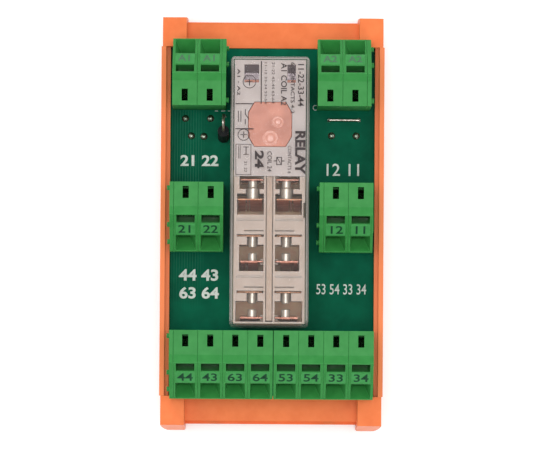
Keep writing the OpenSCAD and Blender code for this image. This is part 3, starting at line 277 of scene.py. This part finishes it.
# Clear cover: nearly see-through flat on, milkier at a slant and over the top edge of its walls, and
# clearer at the front end. Its colour is painted darker at a slant as shade, with painted reflection lines
# along the top edge of its walls
def clearPlastic():
    s = coverLook
    wall = s["wall"]
    material, tree, shader = newMaterial("clearCover")
    low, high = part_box("relay_cover")
    middle = (low + high) / 2
    half = (high - low) / 2
    away = addNode(tree, "ShaderNodeVectorMath", {1: middle}, operation="SUBTRACT")
    tree.links.new(place(tree), away.inputs[0])
    apart = parts(tree, away.outputs["Vector"])
    across = []
    for axis, reach in (("X", half.x), ("Y", half.y)):
        across.append(spread(tree, maths(tree, "ABSOLUTE", apart[axis]), 0, 1, reach - wall, reach))
    acrossWall = maths(tree, "MAXIMUM", *across)
    near = spread(tree, apart["Z"], 0, 1, half.z - 2 * wall, half.z - wall)
    rim = maths(tree, "MULTIPLY", maths(tree, "GREATER_THAN", acrossWall, 0), near)
    slantwise = addNode(tree, "ShaderNodeLayerWeight", {"Blend": 0.35}).outputs["Facing"]
    front = spread(tree, apart["Y"], s["frontShare"], 1, -half.y, s["frontDepth"] - half.y)
    body = maths(tree, "MULTIPLY", spread(tree, slantwise, *s["alpha"], *s["slant"]), front)
    milky = spread(tree, apart["Y"], *s["rimAlpha"], *(depth - half.y for depth in s["rimDepth"]))
    edge = maths(tree, "MULTIPLY", rim, milky)
    tree.links.new(maths(tree, "MAXIMUM", body, edge), shader.inputs["Alpha"])
    # Painted shade: the cover's colour grows darker at a slant
    plain = ramp(tree, slantwise, [(at, colour(*c)) for at, c in s["plain"]])
    # Painted reflection: light and dark lines across the top edge of the walls
    lines = ramp(tree, acrossWall, [(at, colour(*c)) for at, c in s["rimReflections"]])
    tree.links.new(mixColour(tree, rim, plain, lines), shader.inputs["Base Color"])
    tree.links.new(spread(tree, noise(tree, place(tree), 300), 0.04, 0.1), shader.inputs["Roughness"])
    shader.inputs["IOR"].default_value = 1.5
    return material


bladeLook = {
    "brown": ((158, 102, 84), (204, 148, 130)),
    "bright": ((240, 230, 214), (255, 248, 236)),
    "bead": 0.2 * mm,               # radius of the bead at the blade's foot, which stands off the most
    "spare": 0.01 * mm,
}


# A moving blade and its silver rivet are one node: what stands off the blade's own plane is silver
def bladeMaterial(blade):
    s = bladeLook
    low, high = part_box(blade)
    planeY = low.y + s["bead"] if blade.startswith("make") else high.y - s["bead"]
    material, tree, shader = newMaterial(blade + "_finish")
    where = place(tree)
    grain = noise(tree, where, 1500, 4)
    brown = mottled(tree, grain, *s["brown"])
    bright = mottled(tree, grain, *s["bright"])
    away = maths(tree, "ABSOLUTE", maths(tree, "SUBTRACT", parts(tree, where)["Y"], planeY))
    onRivet = maths(tree, "GREATER_THAN", away, s["bead"] + s["spare"])
    tree.links.new(mixColour(tree, onRivet, brown, bright), shader.inputs["Base Color"])
    tree.links.new(spread(tree, noise(tree, where, 3000), 0.42, 0.5), shader.inputs["Roughness"])
    shader.inputs["Metallic"].default_value = 0.65
    return material


# Painted shade on the base's top behind the contact housing: its colour, and how far down from the top it
# reaches
baseLook = {"paintedShade": (124, 108, 112), "paintedShadeDepth": 0.3 * mm}


# Base of the relay: pale plastic, with painted shade on its floor round the coil, behind the contact
# housing
def basePlastic():
    s = baseLook
    material = plastic("tanBase", (252, 200, 162), (255, 216, 178), glow=0.2)
    tree = material.node_tree
    shader = tree.nodes["Principled BSDF"]
    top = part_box("relay_base")[1].z
    plain = shader.inputs["Base Color"].links[0].from_socket
    apart = parts(tree, place(tree))
    # Painted shade: the base's top behind the contact housing is coloured darker
    behind = maths(tree, "GREATER_THAN", apart["Y"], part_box("contact_housing")[1].y)
    onTop = maths(tree, "GREATER_THAN", apart["Z"], top - s["paintedShadeDepth"])
    shadedFloor = maths(tree, "MULTIPLY", behind, onTop)
    tree.links.new(mixColour(tree, shadedFloor, plain, colour(*s["paintedShade"])), shader.inputs["Base Color"])
    return material


finishes = {
    "carrier_profile": orangeProfile, "end_cap_rear": orangeCap, "end_cap_front": orangeCap,
    "rail_latch_rear": orangeCap, "rail_latch_front": orangeCap,
    "latch_spring_rear": springSteel, "latch_spring_front": springSteel, "cap_screws": steel,
    "circuit_board": boardMask(), "solder_joints": solder, "wire_link": linkWire,
    "diode_body": black, "diode_leads": linkWire, "terminal_end_plates": green, "current_bars": tin,
    "relay_cover": clearPlastic(), "relay_base": basePlastic(), "contact_housing": whitePlastic,
    "coil_lid": lidPlastic, "coil_bobbin": bobbin, "coil_winding": winding, "coil_core": softIron,
    "yoke": softIron, "armature": softIron, "comb": combPlastic, "coil_pins": tin,
    "fixed_contacts": copper, "fixed_rivets": silver, "spring_roots": copper,
}
for name, obj in nodes.items():
    if name in finishes:
        chosen = finishes[name]
    elif "_terminal_" in name:
        chosen = green
    elif name.startswith("clamp_spring"):
        chosen = springSteel
    else:
        chosen = bladeMaterial(name)
    obj.data.materials.clear()
    obj.data.materials.append(chosen)
print("finishes on the CAD nodes")


def addPiece(name, bm, material, body, smooth=False):
    mesh = bpy.data.meshes.new(name)
    bm.to_mesh(mesh)
    bm.free()
    if smooth:
        mesh.polygons.foreach_set("use_smooth", [True] * len(mesh.polygons))
    mesh.materials.append(material)
    obj = bpy.data.objects.new(name, mesh)
    scene.collection.objects.link(obj)
    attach(obj, body)
    return obj


# Basis of a printed mark: its right, its up and the way it faces, moved to a point
def facing(right, up, at):
    right, up = Vector(right).normalized(), Vector(up).normalized()
    out = right.cross(up)
    turn = Matrix((right, up, out)).transposed().to_4x4()
    return Matrix.Translation(Vector(at)) @ turn


# Adds a finished part to bm and lets go of it
def join(bm, part):
    mesh = bpy.data.meshes.new("part")
    part.to_mesh(mesh)
    part.free()
    bm.from_mesh(mesh)
    bpy.data.meshes.remove(mesh)


# Makes the faces a solid, as deep as vec
def deepen(part, faces, vec):
    grown = bmesh.ops.extrude_face_region(part, geom=faces)
    moved = [v for v in grown["geom"] if isinstance(v, bmesh.types.BMVert)]
    bmesh.ops.translate(part, vec=vec, verts=moved)
    bmesh.ops.recalc_face_normals(part, faces=part.faces[:])


# Turns a profile once round the Z axis
def turnRound(part, profile, steps):
    bmesh.ops.spin(part, geom=profile, cent=(0, 0, 0), axis=(0, 0, 1), dvec=(0, 0, 0),
                   angle=2 * math.pi, steps=steps, use_merge=True, use_duplicate=False)


# Rounds off edges, or corners where affect is "VERTICES"
def roundOff(part, geom, offset, segments, affect="EDGES"):
    bmesh.ops.bevel(part, geom=geom, offset=offset, offset_type="OFFSET", affect=affect,
                    segments=segments, profile=0.5, material=-1)


inkHalf = 0.01 * mm                 # half the thickness of a printed mark
textHeight = 0.73                   # height of a capital, for a text size of 1
ringSteps = 32


# Adds words as flat solids to bm; size is the height of a capital, and length, if given, sets the width
def addWords(bm, words, size, where, width=1.0, weight=0.0, length=None):
    curve = bpy.data.curves.new("words", "FONT")
    curve.body = words
    curve.align_x = "CENTER"
    curve.align_y = "CENTER"
    curve.size = size / textHeight
    curve.extrude = inkHalf
    curve.offset = weight
    curve.resolution_u = 4
    made = bpy.data.objects.new("words", curve)
    scene.collection.objects.link(made)
    depsgraph = bpy.context.evaluated_depsgraph_get()
    mesh = bpy.data.meshes.new_from_object(made.evaluated_get(depsgraph))
    if length:
        across = [v.co.x for v in mesh.vertices]
        width = length / (max(across) - min(across))
    mesh.transform(where @ Matrix.Diagonal((width, 1, 1, 1)))
    bm.from_mesh(mesh)
    bpy.data.objects.remove(made)
    bpy.data.curves.remove(curve)
    bpy.data.meshes.remove(mesh)


# Adds a bar from one point to another of the mark's own plane, w wide
def addBar(bm, a, b, w, where):
    a, b = Vector((*a, 0)), Vector((*b, 0))
    along = b - a
    middle = Matrix.Translation((a + b) / 2)
    turn = Matrix.Rotation(math.atan2(along.y, along.x), 4, "Z")
    grow = Matrix.Diagonal((along.length + w, w, inkHalf * 2, 1))
    made = bmesh.ops.create_cube(bm, size=1)
    bmesh.ops.transform(bm, verts=made["verts"], matrix=where @ middle @ turn @ grow)


# Adds a flat ring of radius r, w wide, to bm
def addRing(bm, at, r, w, where):
    part = bmesh.new()
    corners = [part.verts.new((r + w / 2 * x, 0, inkHalf * z))
               for x, z in ((-1, -1), (1, -1), (1, 1), (-1, 1))]
    edges = [part.edges.new((corners[i], corners[(i + 1) % 4])) for i in range(4)]
    turnRound(part, corners + edges, ringSteps)
    bmesh.ops.transform(part, verts=part.verts[:], matrix=where @ Matrix.Translation((*at, 0)))
    join(bm, part)


terminals = {
    "pitch": 5.08 * mm,
    "slope": math.radians(45),      # of the faces that carry the labels
    "labelDepth": 9.54 * mm,        # from the inner face to the middle of a label
    "labelDrop": 2.94 * mm,         # from the ridge down to it
    "labelProud": 0.1 * mm,
    "plateSize": (3.86 * mm, 2.86 * mm),
    "plateThick": 0.03 * mm, "plateCorner": 0.25 * mm,
    "weight": 0.045 * mm, "inkLift": 0.012 * mm,
    "blocks": {                     # way that the labels look, height and width of the numbers, the numbers
        "coil_terminal_left": (1, 1.95 * mm, 0.9, ["A1", "A1"]),
        "coil_terminal_right": (1, 1.95 * mm, 0.9, ["A2", "A2"]),
        "contact_terminal_left": (-1, 2.2 * mm, 1.04, ["21", "22"]),
        "contact_terminal_right": (-1, 2.2 * mm, 1.04, ["12", "11"]),
        "front_terminal_left": (-1, 2.2 * mm, 1.07, ["44", "43", "63", "64"]),
        "front_terminal_right": (-1, 2.2 * mm, 1.07, ["53", "54", "33", "34"]),
    },
}


def addPlate(bm, w, h, thick, corner, where):
    part = bmesh.new()
    bmesh.ops.create_grid(part, x_segments=1, y_segments=1, size=0.5)
    bmesh.ops.scale(part, vec=(w, h, 1), verts=part.verts[:])
    roundOff(part, part.verts[:], corner, 4, affect="VERTICES")
    deepen(part, part.faces[:], (0, 0, thick))
    bmesh.ops.transform(part, matrix=where, verts=part.verts[:])
    join(bm, part)


def buildLabels():
    s = terminals
    plates, darkWords, paleWords = bmesh.new(), bmesh.new(), bmesh.new()
    sine, cosine = math.sin(s["slope"]), math.cos(s["slope"])
    for blockName, (way, height, width, words) in s["blocks"].items():
        low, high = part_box(blockName)
        inner = low.y if way > 0 else high.y
        out = Vector((0, way * sine, cosine))
        up = Vector((0, cosine, -way * sine))
        for i, word in enumerate(words):
            at = Vector((low.x + (i + 0.5) * s["pitch"], inner + way * s["labelDepth"],
                         high.z - s["labelDrop"])) + out * s["labelProud"]
            addPlate(plates, *s["plateSize"], s["plateThick"], s["plateCorner"], facing((1, 0, 0), up, at))
            addWords(paleWords if way > 0 else darkWords, word, height,
                     facing((1, 0, 0), up, at + out * (s["plateThick"] + s["inkLift"])), width, s["weight"])
    darkInk = plastic("darkInk", (14, 56, 34), (24, 70, 44), roughness=(0.5, 0.6))
    paleInk = plastic("paleInk", (70, 104, 80), (82, 116, 92), roughness=(0.5, 0.6))
    addPiece("label_plates", plates, labelGreen, "module")
    addPiece("terminal_numbers", darkWords, darkInk, "module")
    addPiece("coil_terminal_numbers", paleWords, paleInk, "module")


buildLabels()
print("terminal labels placed")

boardInk = {
    "lift": 0.012 * mm,
    "words": [                      # words, middle, height, width, weight; mm
        ("21 22", (-15.1, 12.5), 2.2, 1.15, 0.1),
        ("12 11", (14.6, 10.75), 2.6, 1.0, 0.03),
        ("44 43", (-15.0, -11.2), 2.3, 1.15, 0.1),
        ("63 64", (-15.0, -14.9), 2.3, 1.15, 0.1),
        ("53 54 33 34", (14.4, -13.95), 2.2, 0.72, 0.02),
    ],
    "dashes": [                     # both ends of each, mm
        ((-11.9, 22.95), (-11.4, 22.95)), ((-10.6, 22.95), (-9.9, 22.95)), ((-9.2, 22.95), (-8.9, 22.95)),
    ],
    "dashWidth": 0.16 * mm,
    "rings": [((8.85, 23.75), 0.5)],            # middle and radius, mm
    "ringWidth": 0.14 * mm,
}


def printBoard():
    s = boardInk
    bm = bmesh.new()
    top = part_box("circuit_board")[1].z + s["lift"]
    right, up = (1, 0, 0), (0, 1, 0)
    for words, (x, y), height, width, weight in s["words"]:
        addWords(bm, words, height * mm, facing(right, up, (x * mm, y * mm, top)), width, weight * mm)
    flat = facing(right, up, (0, 0, top))
    for a, b in s["dashes"]:
        addBar(bm, [v * mm for v in a], [v * mm for v in b], s["dashWidth"], flat)
    for at, r in s["rings"]:
        addRing(bm, [v * mm for v in at], r * mm, s["ringWidth"], flat)
    whiteInk = plastic("whiteInk", (214, 224, 216), (232, 238, 232), roughness=(0.5, 0.6))
    addPiece("board_print", bm, whiteInk, "module")


printBoard()
print("board printed")

relayInk = {
    "lift": 0.015 * mm,
    "rules": [                      # both ends and the width of each line, mm
        ((-2.4, 32.1), (-2.4, 23.6), 0.2),
        ((-7.5, 23.5), (-4.0, 23.5), 0.2),
        ((-7.5, 18.4), (-4.0, 18.4), 0.2),
        ((-7.45, 15.25), (-4.4, 15.25), 0.1), ((-4.4, 15.25), (-4.4, 9.1), 0.1),
        ((-4.4, 9.1), (-7.45, 9.1), 0.1), ((-7.45, 9.1), (-7.45, 15.25), 0.1),
        ((-6.9, 15.0), (-6.9, 12.4), 0.1), ((-6.6, 15.0), (-6.6, 12.4), 0.1),
        ((-5.4, 14.7), (-5.4, 13.2), 0.16), ((-5.9, 14.7), (-4.9, 14.7), 0.12),
        ((-5.9, 13.2), (-4.9, 13.2), 0.12),
        ((-7.0, 22.0), (-7.0, 19.9), 0.14), ((-6.5, 22.0), (-6.5, 19.9), 0.14),
        ((-5.6, 22.3), (-5.6, 21.4), 0.16), ((-5.6, 21.4), (-4.9, 20.4), 0.16),
        ((-5.6, 20.3), (-5.6, 19.4), 0.16),
        ((0.3, 11.9), (0.85, 11.9), 0.16), ((1.8, 11.9), (2.35, 11.9), 0.16),
        ((0.85, 12.65), (1.8, 12.65), 0.14), ((1.8, 12.65), (1.8, 11.15), 0.14),
        ((1.8, 11.15), (0.85, 11.15), 0.14), ((0.85, 11.15), (0.85, 12.65), 0.14),
        ((0.95, 12.5), (1.7, 11.3), 0.12),
        ((-5.9, 16.6), (-5.9, 17.8), 0.14), ((-6.5, 17.2), (-5.3, 17.2), 0.14),
        ((-4.8, 27.3), (-4.8, 28.7), 0.18), ((-5.4, 28.0), (-4.2, 28.0), 0.14),
    ],
    "rings": [((-4.8, 28.0), 1.3, 0.14), ((-5.9, 17.2), 1.15, 0.14)],      # middle, radius, width, mm
    "columns": [                    # words, middle, height, length and weight, mm
        ("A1 - A2", (-7.0, 27.9), 0.62, 5.4, 0.01),
        ("11-12 33-34 53-54", (-1.5, 27.8), 0.5, 8.4, 0.0),
        ("21-22 43-44 63-64", (0.0, 27.8), 0.6, 8.4, 0.0),
        ("A1 COIL A2", (2.15, 27.5), 1.2, 8.6, 0.02),
        ("6 CONTACTS 4-2", (3.95, 26.8), 0.8, 10.4, 0.01),
        ("11-22-33-44", (5.6, 27.5), 1.25, 8.6, 0.02),
        ("RELAY", (5.5, 13.8), 2.0, 8.8, 0.1),
        ("24", (-2.8, 12.2), 1.7, 3.6, 0.1),
        ("COIL 24", (-0.65, 11.8), 0.9, 4.1, 0.01),
        ("CONTACTS 6", (3.4, 12.2), 0.75, 5.6, 0.0),
        ("21 22", (-5.5, 10.7), 0.6, 2.2, 0.0),
    ],
}


def printRelay():
    s = relayInk
    bm = bmesh.new()
    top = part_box("relay_cover")[1].z + s["lift"]
    flat = facing((1, 0, 0), (0, 1, 0), (0, 0, top))
    for a, b, w in s["rules"]:
        addBar(bm, [v * mm for v in a], [v * mm for v in b], w * mm, flat)
    for at, r, w in s["rings"]:
        addRing(bm, [v * mm for v in at], r * mm, w * mm, flat)
    for words, (x, y), height, length, weight in s["columns"]:
        addWords(bm, words, height * mm, facing((0, -1, 0), (1, 0, 0), (x * mm, y * mm, top)),
                 weight=weight * mm, length=length * mm)
    ink = plastic("greyInk", (56, 50, 50), (74, 66, 66), roughness=(0.5, 0.6))
    addPiece("relay_print", bm, ink, "module")


printRelay()
print("relay printed")

padMarks = {
    "domes": [((1.05, 19.9), 1.15, 0.12), ((-0.45, 16.6), 1.5, 0.16)],     # middle, radius and rise, mm
    "profile": [                    # shares of the radius and of the rise
        (0, 1), (0.35, 0.92), (0.6, 0.55), (0.7, 0.12), (0.8, 0.12), (0.9, 0.6), (1, 0.5),
    ],
    "skirt": 1.08, "sunk": 0.02,    # share of the radius, and mm under the pad's top
    "steps": 48,
}


# Gate and ejector marks of the bobbin's pad: low domes that stand in a round dimple
def buildPadMarks():
    s = padMarks
    bm = bmesh.new()
    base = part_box("coil_bobbin")[1].z
    for (x, y), r, rise in s["domes"]:
        part = bmesh.new()
        profile = [(r * across, rise * up) for across, up in s["profile"]] + [(r * s["skirt"], -s["sunk"])]
        verts = [part.verts.new((px * mm, 0, pz * mm)) for px, pz in profile]
        edges = [part.edges.new(pair) for pair in zip(verts, verts[1:])]
        turnRound(part, verts + edges, s["steps"])
        bmesh.ops.remove_doubles(part, verts=part.verts[:], dist=1e-6)
        bmesh.ops.recalc_face_normals(part, faces=part.faces[:])
        bmesh.ops.translate(part, vec=(x * mm, y * mm, base), verts=part.verts[:])
        join(bm, part)
    marks = plastic("padMarks", (196, 132, 114), (210, 148, 130), roughness=(0.1, 0.2), specular=0.5)
    addPiece("pad_marks", bm, marks, "module", smooth=True)


buildPadMarks()
print("pad marks placed")

leaves = {
    "thick": 0.12 * mm, "corner": 0.025 * mm,
    "sharp": 1,                     # radians between the faces at an edge that is rounded off
    "foot": 20.2 * mm,              # height of the lower end
    "sunk": 0.015 * mm,             # how far the top reaches into the blade
    "bends": [(0, 0), (0.1, 0.07), (0.5, 0.48), (0.92, 0.94), (1, 1)],     # shares of the lean and the drop
    "moving": {
        "lean": {"make_spring_2": 1.5 * mm, "make_spring_3": 0.5 * mm},    # at the foot, for each row
        "top": 28.3 * mm,
        "face": 0.075 * mm,         # from the front of the bead to the blade's front face
        "side": 0.12 * mm,          # from the blade's outer side
        "tongues": [(0, 0.82), (1.0, 1.22), (1.4, 3.45)],       # both sides of each, mm from the outer one
    },
    "fixed": {
        "lean": 2.0 * mm, "top": 29.3 * mm,
        "face": 0.3 * mm,           # thickness of the fixed blade
        "side": 6.35 * mm,          # from the housing's middle
        "tongues": [(0, 1.5), (1.75, 2.1), (2.35, 4.85)],
    },
}


# One forked leaf: it starts on the blade's face and stands away from it at the foot
def buildLeaf(name, body, outerX, inward, back, lean, top, tongues):
    s = leaves
    drop = top - s["foot"]
    back += s["sunk"]
    outline = [(back - lean * out, top - drop * down) for out, down in s["bends"]]
    ring = outline + [(y - s["thick"], z) for y, z in reversed(outline)]
    bm = bmesh.new()
    for start, end in tongues:
        part = bmesh.new()
        near, far = (outerX + inward * v * mm for v in (start, end))
        face = part.faces.new([part.verts.new((near, y, z)) for y, z in ring])
        deepen(part, [face], (far - near, 0, 0))
        sharp = [e for e in part.edges if e.is_manifold and e.calc_face_angle() > s["sharp"]]
        roundOff(part, sharp, s["corner"], 2)
        join(bm, part)
    addPiece(name, bm, leafBronze, body)


# Leaves on the front of the moving blades of the open rows, and of the fixed blades of the closed row
def buildLeaves():
    moving, fixed = leaves["moving"], leaves["fixed"]
    low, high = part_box("contact_housing")
    middleX = (low.x + high.x) / 2
    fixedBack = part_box("fixed_contacts")[1].y - fixed["face"]
    for side, way in (("left", 1), ("right", -1)):
        for row, lean in moving["lean"].items():
            blade = row + "_" + side
            low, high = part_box(blade)
            outerX = low.x + moving["side"] if way > 0 else high.x - moving["side"]
            buildLeaf("leaf_" + blade, blade, outerX, way, low.y + moving["face"], lean, moving["top"],
                      moving["tongues"])
        buildLeaf("leaf_fixed_" + side, "module", middleX - way * fixed["side"], way, fixedBack,
                  fixed["lean"], fixed["top"], fixed["tongues"])


buildLeaves()
print("blade leaves placed")

ribs = {
    "rows": [-0.06, -11.62],        # middle of each, mm
    "sides": [(-7.2, -1.78), (0.68, 6.2)],      # both ends of each, mm
    "width": 0.36 * mm, "rise": 0.14 * mm, "sunk": 0.02 * mm, "corner": 0.12 * mm,
}


# Low moulded ribs across the housing, under the cover
def buildRibs():
    s = ribs
    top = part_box("contact_housing")[1].z
    bm = bmesh.new()
    for row in s["rows"]:
        for start, end in s["sides"]:
            part = bmesh.new()
            bmesh.ops.create_cube(part, size=1)
            bmesh.ops.scale(part, vec=((end - start) * mm, s["width"], s["rise"] + s["sunk"]),
                            verts=part.verts[:])
            middle = ((start + end) / 2 * mm, row * mm, top + (s["rise"] - s["sunk"]) / 2)
            bmesh.ops.translate(part, vec=middle, verts=part.verts[:])
            upper = [e for e in part.edges if min(v.co.z for v in e.verts) > top]
            roundOff(part, upper, s["corner"], 4)
            join(bm, part)
    addPiece("housing_ribs", bm, whitePlastic, "module")


buildRibs()
print("housing ribs placed")

latchSprings = {
    "turns": 6, "stepsPerTurn": 24, "sides": 10,
    "wire": 0.15 * mm, "radius": 0.78 * mm,     # radius of the wire and of its helix
    "keep": 0.672,                  # share of the length that is left when a latch is drawn back
}


def buildLatchSprings():
    s = latchSprings
    for end in ("rear", "front"):
        low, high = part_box("latch_spring_" + end)
        middle = (low + high) / 2
        bm = bmesh.new()
        bmesh.ops.create_circle(bm, segments=s["sides"], radius=s["wire"], cap_ends=True)
        bmesh.ops.rotate(bm, cent=(0, 0, 0), matrix=Matrix.Rotation(math.radians(90), 3, "X"),
                         verts=bm.verts[:])
        bmesh.ops.translate(bm, vec=(low.x + s["wire"], middle.y, middle.z + s["radius"]),
                            verts=bm.verts[:])
        steps = s["turns"] * s["stepsPerTurn"]
        length = high.x - low.x - 2 * s["wire"]
        bmesh.ops.spin(bm, geom=bm.faces[:], cent=middle, axis=(1, 0, 0), dvec=(length / steps, 0, 0),
                       angle=2 * math.pi * s["turns"], steps=steps, use_merge=False, use_duplicate=False)
        bmesh.ops.recalc_face_normals(bm, faces=bm.faces[:])
        spring = addPiece("latch_coil_" + end, bm, springSteel, "module", smooth=True)
        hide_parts("latch_spring_" + end)
        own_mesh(spring)


buildLatchSprings()
print("latch springs wound")


paleFloor = {
    "halfWidth": 3,                 # metres
    "drop": 0.05 * mm,              # just clear of the feet
    "paper": 0.85,
    "glow": 0.3,                    # lifts the paper to white for the eye, and leaves the soft shadow
}


# Floor that looks white to the camera and in reflections, and lights the piece like pale paper
def addFloor():
    s = paleFloor
    mesh = bpy.data.meshes.new("floor")
    bm = bmesh.new()
    bmesh.ops.create_grid(bm, x_segments=1, y_segments=1, size=s["halfWidth"])
    bmesh.ops.translate(bm, vec=(0, 0, -s["drop"]), verts=bm.verts[:])
    bm.to_mesh(mesh)
    bm.free()
    floor = bpy.data.objects.new("floor", mesh)
    scene.collection.objects.link(floor)
    material, tree, shader = newMaterial("paleFloor")
    shader.inputs["Base Color"].default_value = (s["paper"], s["paper"], s["paper"], 1)
    shader.inputs["Roughness"].default_value = 0.9
    shader.inputs["Specular IOR Level"].default_value = 0
    path = addNode(tree, "ShaderNodeLightPath")
    seen = path.outputs["Is Camera Ray"]
    for ray in ("Is Glossy Ray", "Is Transmission Ray"):
        seen = maths(tree, "MAXIMUM", seen, path.outputs[ray])
    tree.links.new(maths(tree, "MULTIPLY", seen, s["glow"]), shader.inputs["Emission Strength"])
    shader.inputs["Emission Color"].default_value = (1, 1, 1, 1)
    mesh.materials.append(material)


addFloor()
print("floor laid")

studio = {
    "worldStrength": 0.5,
    "aim": (0, 0, 0.01),
    "lamps": {                      # place and size in metres, power in watts
        "overhead": ((-0.01, -0.03, 1.2), 0.5, 5.4),
        "leftLamp": ((-0.8, 0.1, 0.75), 0.45, 2.0),
        "rightLamp": ((0.8, 0.1, 0.75), 0.45, 1.6),
        "rearLamp": ((-0.25, 0.85, 0.6), 0.7, 3.2),
        "frontLamp": ((0.25, -0.85, 0.6), 0.7, 2.6),
    },
}


def lightStudio():
    s = studio
    world = bpy.data.worlds.new("studio")
    scene.world = world
    world.use_nodes = True
    background = world.node_tree.nodes["Background"]
    background.inputs["Color"].default_value = (1, 1, 1, 1)
    background.inputs["Strength"].default_value = s["worldStrength"]
    for name, (at, size, power) in s["lamps"].items():
        light = bpy.data.lights.new(name, "AREA")
        light.shape = "SQUARE"
        light.size = size
        light.energy = power
        lamp = bpy.data.objects.new(name, light)
        lamp.location = at
        lamp.rotation_euler = (Vector(s["aim"]) - Vector(at)).to_track_quat("-Z", "Y").to_euler()
        scene.collection.objects.link(lamp)


lightStudio()
print("lamps set")

photoCamera = {
    "place": (-1.939, -27.308, 894.085),        # mm
    "turn": (0.0304, -0.00196, 0.0068),         # radians about X, Y and Z
    "focal": 4241.17, "imageWidth": 540,        # pixels
    "sensor": 36,                               # mm
}


def setCamera():
    s = photoCamera
    lens = bpy.data.cameras.new("camera")
    lens.sensor_width = s["sensor"]
    lens.lens = s["focal"] / s["imageWidth"] * s["sensor"]
    camera = bpy.data.objects.new("camera", lens)
    camera.location = [v * mm for v in s["place"]]
    camera.rotation_euler = Euler(s["turn"], "XYZ")
    scene.collection.objects.link(camera)
    scene.camera = camera
    scene.view_settings.view_transform = "Standard"


setCamera()
print("camera set")
